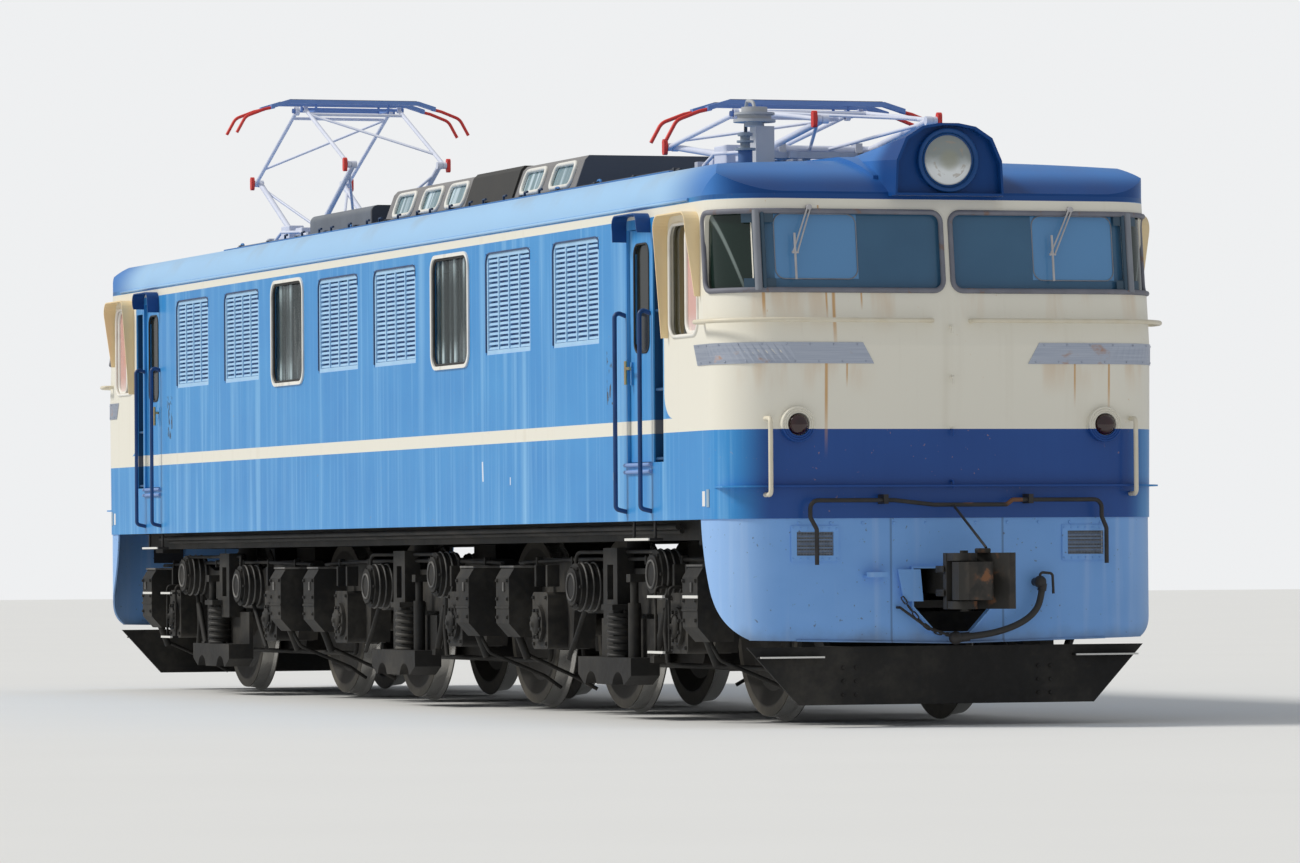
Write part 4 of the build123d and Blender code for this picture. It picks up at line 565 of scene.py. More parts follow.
def rounded(a0, a1, b0, b1, r, cuts=6, parts=6):
    """A closed rounded rectangle as (a, b) pairs, its straight edges cut into short runs."""
    def run(start, end):
        return [tuple(u + (v - u) * i / cuts for u, v in zip(start, end)) for i in range(1, cuts)]

    found = []
    middles = ((a1 - r, b0 + r, -90), (a1 - r, b1 - r, 0), (a0 + r, b1 - r, 90), (a0 + r, b0 + r, 180))
    for a, b, start in middles:
        angles = [math.radians(start + 90 * i / parts) for i in range(parts + 1)]
        arc = [(a + r * math.cos(t), b + r * math.sin(t)) for t in angles]
        found += (run(found[-1], arc[0]) if found else []) + arc
    return found + run(found[-1], found[0])


def both_ends(points):
    """The same points turned half round the middle, for the rear end."""
    return [Vector((-q[0], -q[1], q[2])) for q in points]


cab_pane, p = finish("cab_pane")
haze = p.noise(1.7)
x, y, z = p.parts()
heated = abs(y).between(0.555, 1.08) * z.between(2.652, 3.035)
screen = heated.tint((haze * 0.8).tint((0.040, 0.120, 0.230), (0.080, 0.210, 0.360)), (0.120, 0.310, 0.590))
# Dark green quarter lights with a slanting glint, and side windows that show a pink blind ahead
glint = abs(abs(y) - z * 0.28 - 0.52).ramp(0.010, 0.003) * haze * 0.7
quarter = (abs(y) > 1.20) * (abs(x) > 7.15)
screen = quarter.tint(screen, glint.tint((0.010, 0.024, 0.018), (0.40, 0.48, 0.46)))
blind = (z.ramp(2.50, 2.34) * 0.6).tint(haze.tint((0.66, 0.33, 0.28), (0.82, 0.52, 0.46)), (0.90, 0.86, 0.84))
beside = (abs(x) > 6.84).tint(haze.tint((0.016, 0.014, 0.005), (0.050, 0.044, 0.018)), blind)
screen = (abs(x) < 7.15).tint(screen, beside)
lay_on(cab_pane, screen, haze * 0.06 + 0.05, Specular_IOR_Level=0.6,
       Alpha=haze * 0.10 + heated * 0.10 + (abs(y) > 1.20) * 0.10 + 0.76)
# Pale streaks of curtain and sky, strongest near a pane's top and foot, and streaked blinds in the roof
side_pane, p = finish("side_pane")
z = p.parts()[2]
haze = p.noise(5.0, (2.5, 1, 0.4))
streak = p.noise(1.0, (17.0, 1, 0.35)).ramp(0.46, 0.66)
shown = streak * (z.ramp(2.80, 3.01) * 0.75 + z.ramp(2.52, 2.33) * 0.95 + 0.22)
low_pane = shown.tint(haze.tint((0.016, 0.026, 0.026), (0.050, 0.070, 0.068)), (0.58, 0.72, 0.76))
above_roof = z > 3.4
lay_on(side_pane, above_roof.tint(low_pane, streak.tint((0.24, 0.36, 0.40), (0.66, 0.80, 0.88))),
       haze * 0.1 + 0.08, Alpha=above_roof * 0.4 + shown * 0.35 + 0.45)
dress(cab_pane, "cab_glass")
dress(side_pane, "side_glass")
gasket_rubber, p = finish("gasket_rubber", "rubber")
age = p.noise(9.0, detail=4)
worn = age.tint((0.115, 0.120, 0.150), (0.250, 0.255, 0.300))
lay_on(gasket_rubber, (p.noise(17.0).ramp(0.60, 0.72) * 0.6).tint(worn, (0.22, 0.11, 0.06)), age * 0.3 + 0.5,
       age, 0.001)
corner_dark = clouded("corner_dark", "glass", 3.0, (0.028, 0.062, 0.100), (0.050, 0.095, 0.140), 0.12)
post_paint, p = finish("post_paint", "wheel_steel")
age = p.noise(12.0, (1, 1, 0.4), 4)
lay_on(post_paint, age.tint((0.30, 0.32, 0.36), (0.15, 0.165, 0.20)), 0.5)
PANE_FOOT, PANE_TOP = 2.555, 3.024
both_cabs = (("front", list), ("rear", both_ends))
for end, turn in both_cabs:
    loops, heater, posts, seals, corners, quads = [], [], [], [], [], []
    for s in (-1, 1):
        pane = rounded(0.030, 1.600, PANE_FOOT, PANE_TOP, 0.062, cuts=30)
        loops.append(turn([skin(s * a, b, 0.003) for a, b in pane]))
        # Square the corners beside the post, where one gasket runs round both panes
        for a0, a1, b0, b1 in ((1.084, 1.152, 2.556, 2.624), (1.084, 1.152, 2.955, 3.023),
                               (1.210, 1.276, 2.556, 2.624), (1.210, 1.276, 2.955, 3.023),
                               (1.148, 1.181, 2.556, 3.023), (1.179, 1.214, 2.556, 3.023)):
            first = len(corners)
            for out in (0.0008, 0.0024):
                corners += turn([skin(s * a, b, out) for a, b in ((a0, b0), (a1, b0), (a1, b1), (a0, b1))])
            quads += [tuple(first + i for i in f) for f in ((0, 3, 2, 1), (4, 5, 6, 7), (0, 1, 5, 4),
                                                            (1, 2, 6, 5), (2, 3, 7, 6), (3, 0, 4, 7))]
        edge = sorted((s * 0.56, s * 1.08))
        heater.append(turn([skin(a, b, -0.0235) for a, b in rounded(*edge, 2.622, 3.008, 0.06)]))
        posts.append(turn([skin(s * 1.186, h, 0.006) for h in (2.552, 2.70, 2.85, 3.028)]))
        seals.append(turn([skin(s * 1.150, h, 0.004) for h in (2.556, 2.70, 2.85, 3.024)]))
    bars("screen_gaskets_" + end, loops, 0.016, gasket_rubber, closed=True)
    solid("screen_corners_" + end, corners, quads, corner_dark)
    bars("heater_outlines_" + end, heater, 0.0035, post_paint, closed=True, sides=6)
    bars("screen_posts_" + end, posts, 0.024, post_paint, sides=10)
    bars("screen_seals_" + end, seals, 0.013, corner_dark, slot="rubber")

# Steel bands
# A polished stainless strip on each side of the end, wrapped round the corner and cut slanting at
# both tips, held by screws whose rust has run.
band_steel, p = finish("band_steel", "wheel_steel")
brushed = p.noise(1.0, (3.0, 3.0, 160.0), 2)
patch = p.noise(7.0, (1, 1, 1.5), 4)
rusty = patch.ramp(0.60, 0.72) * (p.parts()[2] < 2.265) | patch.ramp(0.68, 0.76)
steel = brushed.tint((0.32, 0.37, 0.48), (0.56, 0.60, 0.68))
lay_on(band_steel, (rusty * 0.75).tint(steel, (0.42, 0.20, 0.09)), brushed * 0.2 + 0.28 + rusty * 0.4,
       Metallic=rusty * -0.8 + 0.75)
BAND_FOOT, BAND_TOP, BAND_LENGTH, BAND_CUTS = (0.49, 2.120), (0.56, 2.245), 1.30, 30
for end, turn in both_cabs:
    for s, side in ((-1, "left"), (1, "right")):
        points, faces = [], []
        for i in range(BAND_CUTS + 1):
            for out in (0.001, 0.005):
                points += turn([skin(s * (a + i / BAND_CUTS * BAND_LENGTH), h, out)
                                for a, h in (BAND_FOOT, BAND_TOP)])
        for a in range(0, 4 * BAND_CUTS, 4):
            b = a + 4
            faces += [(a, b, b + 1, a + 1), (a + 2, a + 3, b + 3, b + 2),
                      (a, a + 2, b + 2, b), (a + 1, b + 1, b + 3, a + 3)]
        faces += [(0, 1, 3, 2), (b, b + 2, b + 3, b + 1)]
        if s > 0:
            faces = [f[::-1] for f in faces]
        solid("band_%s_%s" % (end, side), points, faces, band_steel)
SCREWS, SCREW_STEP = 9, 0.148
screws = []
for s in (-1, 1):
    for i in range(SCREWS):
        for h, start in ((2.133, 0.54), (2.233, 0.594)):
            at = s * (start + i * SCREW_STEP)
            screws.append((skin(at, h, 0.006), skin(at, h, 1.0) - skin(at, h, 0.0)))
studs("band_screws", screws + [both_ends(screw) for screw in screws], 0.006, 0.003, band_steel)


# Lamps
# Each headlamp is a sealed reflector behind a pressed lens, in a deep blue housing with a dark
# visor. The tail lamps are ruby glass domes in pressed rings.
def circle(r, parts, start=0.0):
    """The points of a circle about (0, 0); start turns it by that share of one part."""
    angles = [2 * math.pi * (i + start) / parts for i in range(parts)]
    return [(r * math.cos(a), r * math.sin(a)) for a in angles]


def dome(name, centre, way, profile, material, segments, body="body"):
    """A turned piece from centre along way; profile is (radius, distance) pairs from the rim inwards."""
    turn, centre = Vector(way).to_track_quat("Z", "Y"), Vector(centre)
    rings = [q for q in profile if q[0]]
    points = [centre + turn @ Vector((a, b, t)) for r, t in rings for a, b in circle(r, segments)]
    faces = []
    for first in range(0, (len(rings) - 1) * segments, segments):
        for i in range(segments):
            n = (i + 1) % segments
            faces.append((first + i, first + n, first + segments + n, first + segments + i))
    if len(rings) < len(profile):
        points.append(centre + turn @ Vector((0, 0, profile[-1][1])))
        last = (len(rings) - 1) * segments
        faces += [(last + i, last + (i + 1) % segments, len(points) - 1) for i in range(segments)]
    faces.append(tuple(range(segments - 1, -1, -1)))
    return solid(name, points, faces, material, smooth=True, body=body)


LAMP_Z, TAIL_Y, TAIL_Z = 3.360, 0.975, 1.788
lamp_blue, p = finish("lamp_blue", "wheel_steel")
grime = p.noise(5.0)
lay_on(lamp_blue, grime.tint((0.001, 0.046, 0.190), (0.010, 0.080, 0.270)), grime * 0.2 + 0.3,
       Specular_IOR_Level=0.35)
lamp_dark = clouded("lamp_dark", "black_metal", 8.0, (0.008, 0.010, 0.016), (0.022, 0.026, 0.036), 0.6)
lamp_glass, p = finish("lamp_glass", "lens")
x, y, z = p.parts()
offset = (z - LAMP_Z) * (z - LAMP_Z) + y * y
spread = p.noise(9.0, (1, 2.5, 2.5), 2)
# The reflector is paler towards its foot: a painted reflection
bowl = (z + spread * 0.04).ramp(3.42, 3.30).tint((0.26, 0.29, 0.28), (0.74, 0.78, 0.80))
bowl = (offset.ramp(0.006, 0.0005) * 0.8).tint(bowl, (0.30, 0.31, 0.24))
bowl = (offset.between(0.008, 0.013) * spread.ramp(0.45, 0.60) * 0.6).tint(bowl, (0.36, 0.30, 0.24))
lay_on(lamp_glass, offset.ramp(0.019, 0.0225).tint(bowl, (0.30, 0.33, 0.35)), spread * 0.1 + 0.05,
       Specular_IOR_Level=0.7, Coat_Weight=0.7, Coat_Roughness=0.03)
dress(lamp_glass, "lamp_lenses")
ruby, p = finish("ruby", "lens")
lay_on(ruby, p.noise(14.0).tint((0.010, 0.002, 0.003), (0.040, 0.006, 0.007)), p.noise(20.0) * 0.1 + 0.08,
       Coat_Weight=0.5, Coat_Roughness=0.05)
chrome, p = finish("chrome", "wheel_steel")
lay_on(chrome, p.noise(22.0).tint((0.50, 0.52, 0.53), (0.66, 0.68, 0.70)), p.noise(30.0) * 0.2 + 0.18,
       Metallic=0.85)
LENS = [(0.158, 0.0), (0.158, 0.006), (0.143, 0.016), (0.105, 0.029), (0.058, 0.037), (0, 0.040)]
RIM = [(0.192, 0.0), (0.192, 0.008), (0.186, 0.015), (0.174, 0.015), (0.166, 0.008), (0.160, -0.006)]
TAIL_LENS = [(0.064, 0.0), (0.064, 0.012), (0.055, 0.034), (0.034, 0.050), (0, 0.056)]
for end, sign in ends:
    dome("headlamp_lens_" + end, (sign * 7.618, 0, LAMP_Z), (sign, 0, 0), LENS, lamp_glass, 48)
    dome("headlamp_rim_" + end, (sign * 7.630, 0, LAMP_Z), (sign, 0, 0), RIM, lamp_blue, 48)
    for s, side in ((-1, "left"), (1, "right")):
        place = (sign * (cab_face(1.760) + 0.016), sign * s * TAIL_Y, TAIL_Z)
        dome("tail_lens_%s_%s" % (end, side), place, (sign, 0, 0), TAIL_LENS, ruby, 28)

# Roof gear
# A sheet steel monitor with framed panes, a black relay case between them, a grey resistor case at
# the rear, the lightning arrester on its box and the whistle on its post.
roof_gear, p = finish("roof_gear", "grey_paint")
x, y, z = p.parts()
soot = p.noise(3.0, detail=5)
warm = soot.tint((0.27, 0.262, 0.262), (0.185, 0.18, 0.182))
# The monitor's front end is painted dark blue-grey: painted shade on the face turned from the light. The
# relay case is black.
shaded_front_face = x > 2.515
colour = (shaded_front_face | (x.between(0.02, 1.16) * (z > 3.39))).tint(warm, (0.020, 0.019, 0.018))
lay_on(roof_gear, (shaded_front_face * 0.8).tint(colour, (0.10, 0.11, 0.13)), soot * 0.3 + 0.45, soot, 0.003)
dress(roof_gear, "roof_monitor")
# Grey cases behind, a black case, then the pale arrester on its grey box, and the whistle's blue post
case_grey, p = finish("case_grey", "grey_paint")
x, y, z = p.parts()
soot = p.noise(3.5, detail=5)
grey = soot.tint((0.20, 0.225, 0.26), (0.115, 0.125, 0.145))
pale = soot.tint((0.66, 0.66, 0.68), (0.50, 0.50, 0.52))
black = soot.tint((0.010, 0.010, 0.009), (0.05, 0.046, 0.04))
navy = soot.tint((0.04, 0.10, 0.25), (0.07, 0.16, 0.36))
colour = x.between(0, 1.3).tint((x > -2.44).tint(grey, (0.05, 0.055, 0.065)), black)
colour = x.between(5.9, 6.3).tint(colour, (z > 3.65).tint(pale, (0.42, 0.44, 0.47)))
colour = (x > 6.3).tint(colour, (z > 3.477).tint(navy, (0.22, 0.27, 0.34)))
lay_on(case_grey, colour, soot * 0.3 + 0.4, soot)
dress(case_grey, "roof_fittings")
frame_cream, p = finish("frame_cream", "cream_paint")
wear = p.noise(9.0, (1, 1, 0.5), 4)
lay_on(frame_cream, (wear.ramp(0.52, 0.72) * 0.5).tint((0.84, 0.82, 0.76), (0.52, 0.50, 0.45)),
       wear * 0.2 + 0.35, wear, 0.001, Specular_IOR_Level=0.35)
dress(frame_cream, "window_frames")
MONITOR_FOOT, MONITOR_RISE, MONITOR_HALF, MONITOR_LEAN = 3.408, 0.248, 0.700, 0.09


def monitor_wall(x, z, s, out=0.0):
    """A point on the monitor's leaning side."""
    return Vector((x, s * (MONITOR_HALF - MONITOR_LEAN * (z - MONITOR_FOOT) / MONITOR_RISE + out), z))


panes = ((-1.78, -1.33), (-1.11, -0.66), (-0.48, -0.05), (1.29, 1.74), (1.94, 2.39))
frames = [[monitor_wall(a, b, s, 0.006) for a, b in rounded(*pane, 3.490, 3.646, 0.05)]
          for pane in panes for s in (-1, 1)]
bars("monitor_frames", frames, 0.016, frame_cream, closed=True)
# A row along the foot, with none on the relay case
RIVET_STEP, RIVET_PLACES, CASE_FROM, CASE_TO = 0.07, 64, 0.0, 1.17
along_foot = [-1.93 + RIVET_STEP * i for i in range(RIVET_PLACES)]
along_foot = [a for a in along_foot if not CASE_FROM < a < CASE_TO]
rivets = [(monitor_wall(a, 3.424, s, 0.002), (0, s, 0.4)) for a in along_foot for s in (-1, 1)]
studs("monitor_rivets", rivets, 0.008, 0.006, roof_gear)
conduits = [[(a, s * 0.885, 3.425) for a in places]
            for s, places in ((-1, (-5.30, -1.2, 2.9, 5.30)), (1, (-5.30, 5.30)))]
bars("roof_conduits", conduits, 0.012, case_grey)
CLIPS, CLIP_STEP = 14, 0.8
clips = [((-5.22 + CLIP_STEP * i, -5.18 + CLIP_STEP * i), (s * 0.865, s * 0.905), (3.404, 3.443))
         for i in range(CLIPS) for s in (-1, 1)]
plates("conduit_clips", clips, case_grey, 0.003)
bars("arrester_lead", [[(6.10, -0.68, 3.765), (6.08, -0.68, 3.80), (5.97, -0.68, 3.815), (5.92, -0.67, 3.78),
                        (5.70, -0.60, 3.52), (5.60, -0.49, 3.50)]], 0.011, case_grey, bend=0.05)

# Window frames and curtains
# Side windows have a cream pressed frame with a black rubber lip, and grey curtains hang inside
# them on a rod. The cab's side window slides: its front pane has its own pale frame.
black_rubber = clouded("black_rubber", "rubber", 25.0, (0.010, 0.010, 0.011), (0.045, 0.043, 0.042), 0.7)
lips = [[(a, s * 1.394, b) for a, b in rounded(x0 + 0.012, x1 - 0.012, 2.310, 3.016, 0.082)]
        for x0, x1 in ((-2.44, -1.61), (1.61, 2.44)) for s in (-1, 1)]
bars("window_lips", lips, 0.010, black_rubber, closed=True)
for name, y_at, radius, rim in (("cab_window_rims", 1.400, 0.012, rounded(6.582, 7.108, 2.335, 3.011, 0.088)),
                                ("sash_frames", 1.376, 0.016, rounded(6.835, 7.095, 2.350, 2.996, 0.075))):
    routes = [[(sx * a, s * y_at, b) for a, b in rim] for sx, s in quarters]
    bars(name, routes, radius, frame_cream, closed=True)


def woven(name, scale, distortion):
    """A cloth finish with its threads' waves, to be given its colour."""
    made, p = finish(name, "inside_green")
    waves = {"wave_type": "BANDS", "bands_direction": "Z"}
    return made, p, p.node("TexWave", waves, {"Vector": p, "Scale": scale, "Distortion": distortion})


curtain_cloth, p, weave = woven("curtain_cloth", 260.0, 1.5)
shade = p.noise(3.0, (6.0, 1, 0.6))
faded = shade.ramp(0.44, 0.60) * 0.7 + p.parts()[2].ramp(2.62, 2.34) * 0.5
lay_on(curtain_cloth, (faded + weave * 0.1).tint((0.040, 0.070, 0.080), (0.90, 0.95, 0.96)), 0.9,
       weave, 0.0008)
blind_cloth, p, weave = woven("blind_cloth", 220.0, 1.0)
lay_on(blind_cloth, (p.noise(4.0) * 0.6 + weave * 0.3).tint((0.72, 0.38, 0.33), (0.90, 0.66, 0.60)), 0.9,
       weave, 0.0008)
CURTAIN_Y, CURTAIN_ROWS, WAVE_CUTS = 1.322, 10, 12


def hung(name, x0, x1, s, z0, z1, waves, deep, material):
    """A gathered curtain: its folds fade in from the rod down, and its hem swings a little."""
    columns = waves * WAVE_CUTS
    points = []
    for j in range(CURTAIN_ROWS + 1):
        t = j / CURTAIN_ROWS
        for i in range(columns + 1):
            u = i / columns
            fold = math.sin(2 * math.pi * waves * u + 0.5 * math.sin(7 * u)) * deep * (0.75 + 0.35 * t)
            lean = 0.01 * math.sin(5 * u + 3 * t)
            points.append((x0 + (x1 - x0) * (u + lean), s * CURTAIN_Y + fold, z1 + (z0 - z1) * t))
    row = columns + 1
    starts = [j * row + i for j in range(CURTAIN_ROWS) for i in range(columns)]
    faces = [(a, a + 1, a + row + 1, a + row) for a in starts]
    half_way = CURTAIN_ROWS // 2 * row
    middle = [Vector(q) for q in points[half_way:half_way + row]]
    width = sum((b - a).length for a, b in zip(middle, middle[1:]))
    made = solid(name, points, faces, material, smooth=True)


for s, side in ((-1, "right"), (1, "left")):
    for i, (x0, x1) in enumerate(((-2.36, -1.93), (1.98, 2.40)), 1):
        hung("curtain_%s_%d" % (side, i), x0, x1, s, 2.31, 3.03, 6, 0.016, curtain_cloth)
    for end, sx in ends:
        hung("cab_curtain_%s_%s" % (end, side), sx * 6.86, sx * 7.08, s, 2.36, 3.02, 4, 0.010, blind_cloth)
rods = [[(sx * a, s * CURTAIN_Y, 3.036) for a in span]
        for span in ((1.58, 2.47), (6.60, 7.10)) for sx, s in quarters]
bars("curtain_rods", rods, 0.006, chrome, sides=6)

# Rails, steps and end fittings
# Round steel handrails: blue beside the doors, cream on the ends. The ledge, hooks and tail lamp
# rings take the body's colours; the lever, taps and brackets are black, with wear on the lever.
end_paint, p = finish("end_paint", "cream_paint")
x, y, z = p.parts()
h, inboard = z - RAIL, abs(x) < 6.4
iron = p.noise(11.0, detail=4)
black_iron = iron.tint((0.010, 0.010, 0.011), (0.050, 0.046, 0.044))
worn = p.noise(6.0, detail=4).ramp(0.52, 0.62) * y.between(-0.18, 0.42) * h.between(1.22, 1.35) * 0.8
body_colour = (h > STRIPE_FOOT).tint(livery(p)[1], (0.80, 0.77, 0.67))
colour = (h > 1.352).tint(worn.tint(black_iron, (0.20, 0.085, 0.035)), body_colour)
colour = (h > 2.45).tint(colour, iron.tint((0.34, 0.33, 0.34), (0.60, 0.59, 0.60)))
# Black steps between the ends, with pale edges
stepped = inboard.tint(colour, black_iron)
colour = (inboard * (h < 1.2) * (abs(y) > 1.417)).tint(stepped, (0.75, 0.74, 0.70))
lay_on(end_paint, colour, iron * 0.3 + 0.35, iron, 0.001, Specular_IOR_Level=0.35)
dress(end_paint, "end_fittings")
CHAIN_LOW, CHAIN_HIGH = Vector((7.708, -0.050, 0.540)), Vector((7.668, -0.318, 0.745))
CHAIN_LINKS = 9
LINK = ((-1, -0.6), (-0.6, -1), (0.6, -1), (1, -0.6), (1, 0.6), (0.6, 1), (-0.6, 1), (-1, 0.6))
for end, turn in both_cabs:
    ridges = [turn([(cab_face(1.76) + 0.034, s * TAIL_Y + a, TAIL_Z + b) for a, b in circle(r, 28)])
              for s in (-1, 1) for r in (0.100, 0.086, 0.072)]
    bars("tail_ring_ridges_" + end, ridges, 0.0055, end_paint, closed=True, sides=6)
    # The chain that ties the hose's coupling head to the bracket plate
    links = []
    for i in range(CHAIN_LINKS):
        t = i / (CHAIN_LINKS - 1)
        middle = CHAIN_LOW.lerp(CHAIN_HIGH, t) + Vector((0.012, 0, -0.055 * math.sin(math.pi * t)))
        way = (CHAIN_HIGH - CHAIN_LOW + Vector((0, 0, -0.17 * math.cos(math.pi * t)))).normalized()
        aside = Vector((1, 0, 0)) if i % 2 else Vector((1, 0, 0)).cross(way)
        links.append(turn([middle + way * (0.024 * a) + aside * (0.010 * b) for a, b in LINK]))
    bars("hose_chain_" + end, links, 0.0045, black_rubber, closed=True, sides=6, slot="black_metal")
sills = [[(sx * a, s * 1.408, h + RAIL) for a in (5.728, 6.236)]
         for sx, s in quarters for h in (1.548, 1.505)]
bars("door_sills", sills, 0.013, shaded_blue, sides=6)
blank_plate, p = finish("blank_plate", "collector_grey")
dull = p.noise(20.0).tint((0.24, 0.36, 0.48), (0.34, 0.46, 0.56))
lay_on(blank_plate, (abs(p.parts()[0]) > 7.23).tint((0.80, 0.80, 0.80), dull), 0.4)
BLANKS = ((7.165, 7.215, 1.399, 1.402, 1.310, 1.400), (7.245, 7.290, 1.397, 1.404, 1.305, 1.410))
blanks = [((sx * x0, sx * x1), (s * y0, s * y1), (z0, z1))
          for x0, x1, y0, y1, z0, z1 in BLANKS for sx, s in quarters]
plates("side_plates", blanks, blank_plate, 0.001)
rail_paint, p = finish("rail_paint")
wear = p.noise(10.0, detail=4)
cream_rail = wear.tint((0.80, 0.76, 0.64), (0.66, 0.58, 0.42))
# The blue rails are painted much darker than the body's blue: painted shade
shaded_blue_rail = wear.tint((0.006, 0.030, 0.110), (0.022, 0.080, 0.240))
lay_on(rail_paint, (abs(p.parts()[0]) > 6.5).tint(shaded_blue_rail, cream_rail), wear * 0.2 + 0.3, wear, 0.0008,
       Specular_IOR_Level=0.4)
dress(rail_paint, "handrails")
brass, p = finish("brass", "wheel_steel")
lay_on(brass, p.noise(25.0).tint((0.45, 0.33, 0.14), (0.70, 0.56, 0.30)), p.noise(40.0) * 0.2 + 0.25,
       Metallic=0.9)
for end, sx in ends:
    for side, s in (("left", 1), ("right", -1)):
        door, x_at, y_at = "door_%s_%s" % (end, side), sx * 5.807, s * 1.426
        grip = [(x_at, y_at, 2.215), (x_at, y_at, 2.07)]
        lever = [(x_at, s * 1.39, 2.168), (x_at, y_at, 2.168), (sx * 5.892, y_at, 2.168)]
        bars("door_handle_%s_%s" % (end, side), [grip, lever], 0.010, brass, door, bend=0.01)
        lip = [(sx * a, s * 1.381, b) for a, b in rounded(5.852, 6.135, 2.262, 2.926, 0.068)]
        bars("door_pane_lip_%s_%s" % (end, side), [lip], 0.007, black_rubber, door, closed=True, sides=6)

# Skirt
# Pale blue pressed plate under each cab, welded from three panels, with a folded edge round the
# coupler's opening and a wire mesh behind each vent frame.
skirt_paint, p = finish("skirt_paint", "pale_blue")
x, y, z = p.parts()
cloud = p.noise(2.4, (1, 1, 1.4), 5)
pale = cloud.tint((0.150, 0.350, 0.740), (0.230, 0.460, 0.880))
pale = (p.noise(1.0, (11.0, 11.0, 0.5), 4).ramp(0.55, 0.75) * 0.5).tint(pale, (0.34, 0.52, 0.84))
pale = (abs(y).ramp(1.05, 1.36) * 0.5).tint(pale, (0.38, 0.57, 0.86))
seam = abs(y + 0.38).ramp(0.010, 0.003) | abs(y - 0.33).ramp(0.010, 0.003)
pale = (seam * 0.55).tint(pale, (0.07, 0.12, 0.22))
splash = (z - RAIL + p.noise(5.0, detail=4) * 0.16).ramp(0.66, 0.50) * 0.6
flecks = p.noise(34.0, detail=2).ramp(0.70, 0.76) * 0.6
lay_on(skirt_paint, (splash | flecks).tint(pale, (0.10, 0.085, 0.07)), cloud * 0.25 + 0.35, cloud - seam,
       Specular_IOR_Level=0.35)
dress(skirt_paint, "skirts")
mesh_wire = clouded("mesh_wire", "wheel_steel", 30.0, (0.13, 0.15, 0.18), (0.32, 0.36, 0.42), 0.6)
SKIRT_FACE, UPRIGHTS, ROWS, RIVETS = 7.627, 24, 15, 7
wires, rivets = [], []
for sx, s in quarters:
    wires += [[(sx * (SKIRT_FACE + 0.001), s * (0.75 + i * 0.22 / (UPRIGHTS - 1)), z_at)
               for z_at in (1.013, 1.153)] for i in range(UPRIGHTS)]
    wires += [[(sx * (SKIRT_FACE + 0.003), s * y_at, 1.016 + i * 0.134 / (ROWS - 1))
               for y_at in (0.745, 0.975)] for i in range(ROWS)]
    rivets += [((sx * (SKIRT_FACE + 0.008), s * (0.724 + i * 0.272 / (RIVETS - 1)), z_at), (sx, 0, 0))
               for i in range(RIVETS) for z_at in (0.993, 1.173)]
bars("vent_wires", wires, 0.0022, mesh_wire, sides=4)
# A black plate behind each mesh stands in for the shade behind the vent: painted shade
backs = [((sx * 7.590, sx * 7.594), (s * 0.74, s * 0.98), (1.005, 1.160)) for sx, s in quarters]
plates("vent_backs", backs, lamp_dark)
studs("vent_rivets", rivets, 0.007, 0.005, skirt_paint)
heads = [((sx * (SKIRT_FACE + 0.001), s * (0.16 + i * 0.20), 1.205), (sx, 0, 0))
         for i in range(5) for s in (-1, 1) for sx in (-1, 1)]
studs("skirt_bolts", heads, 0.010, 0.006, skirt_paint, sides=6)
hems = [[(sx * 7.634, a * 0.98, 0.491 + 0.0214 * abs(a)) for a in (-1.0, -0.5, 0.0, 0.5, 1.0)]
        for sx in (-1, 1)]
bars("skirt_edges", hems, 0.006, skirt_paint, sides=6)

# Couplers and end gear
# Cast steel automatic couplers, black with oily dust, their contact faces rusted where they rub.
# Grease and a worn bright edge show on the knuckles.
coupler_iron, p = finish("coupler_iron", "cast_black")
x, y, z = p.parts()
grain = p.noise(14.0, detail=5)
base = p.noise(3.5, detail=4).tint((0.006, 0.0055, 0.005), (0.030, 0.027, 0.022))
rubbed = abs(x).ramp(8.10, 8.16) * grain.ramp(0.52, 0.66) * abs(y).ramp(0.12, 0.03)
edge = abs(x).ramp(8.225, 8.245) * grain.ramp(0.35, 0.55) * 0.35
base = edge.tint(base, (0.075, 0.060, 0.048))
lay_on(coupler_iron, (rubbed * 0.7).tint(base, (0.26, 0.105, 0.040)), grain * 0.3 + 0.55, grain, 0.004)
dress(coupler_iron, "coupler_front", "coupler_rear", "knuckle_front", "knuckle_rear")
# Ribs on the sides of the heads: x and y from and to, half a rib's height, and heights over the rail
RIBS = ((7.93, 8.16, 0.188, 0.198, 0.016, (0.72, 0.83, 0.94)),
        (7.90, 8.03, -0.195, -0.205, 0.02, (0.76, 0.90)))
for end, sx in ends:
    ribs = [((sx * x0, sx * x1), (sx * y0, sx * y1), (h + RAIL - half, h + RAIL + half))
            for x0, x1, y0, y1, half, heights in RIBS for h in heights]
    lifter = ((sx * 8.06, sx * 8.13), (sx * -0.02, sx * 0.06), (RAIL + 0.993, RAIL + 1.022))
    plates("coupler_ribs_" + end, ribs, coupler_iron, 0.008, "coupler_" + end)
    plates("coupler_lifter_" + end, [lifter], coupler_iron, 0.008, "coupler_" + end)


# Pantographs
# Two diamond frames of thin steel tube painted pale grey, on base rails over rust-stained
# porcelain insulators. Knee covers and horns are red, and the collector strips carry graphite.
def tube_finish(name, scale, colour, other, red_from=None, wear=0.2, rough=0.35, depth=0.0008):
    """Old paint on tube, red from a distance off the middle outwards."""
    made, p = finish(name, "collector_grey")
    age = p.noise(scale, detail=4)
    paint = age.tint(colour, other)
    if red_from:
        red = age.tint((0.70, 0.030, 0.026), (0.80, 0.075, 0.055))
        paint = (abs(p.parts()[1]) > red_from).tint(paint, red)
    return lay_on(made, paint, age * wear + rough, age, depth, Specular_IOR_Level=0.4)


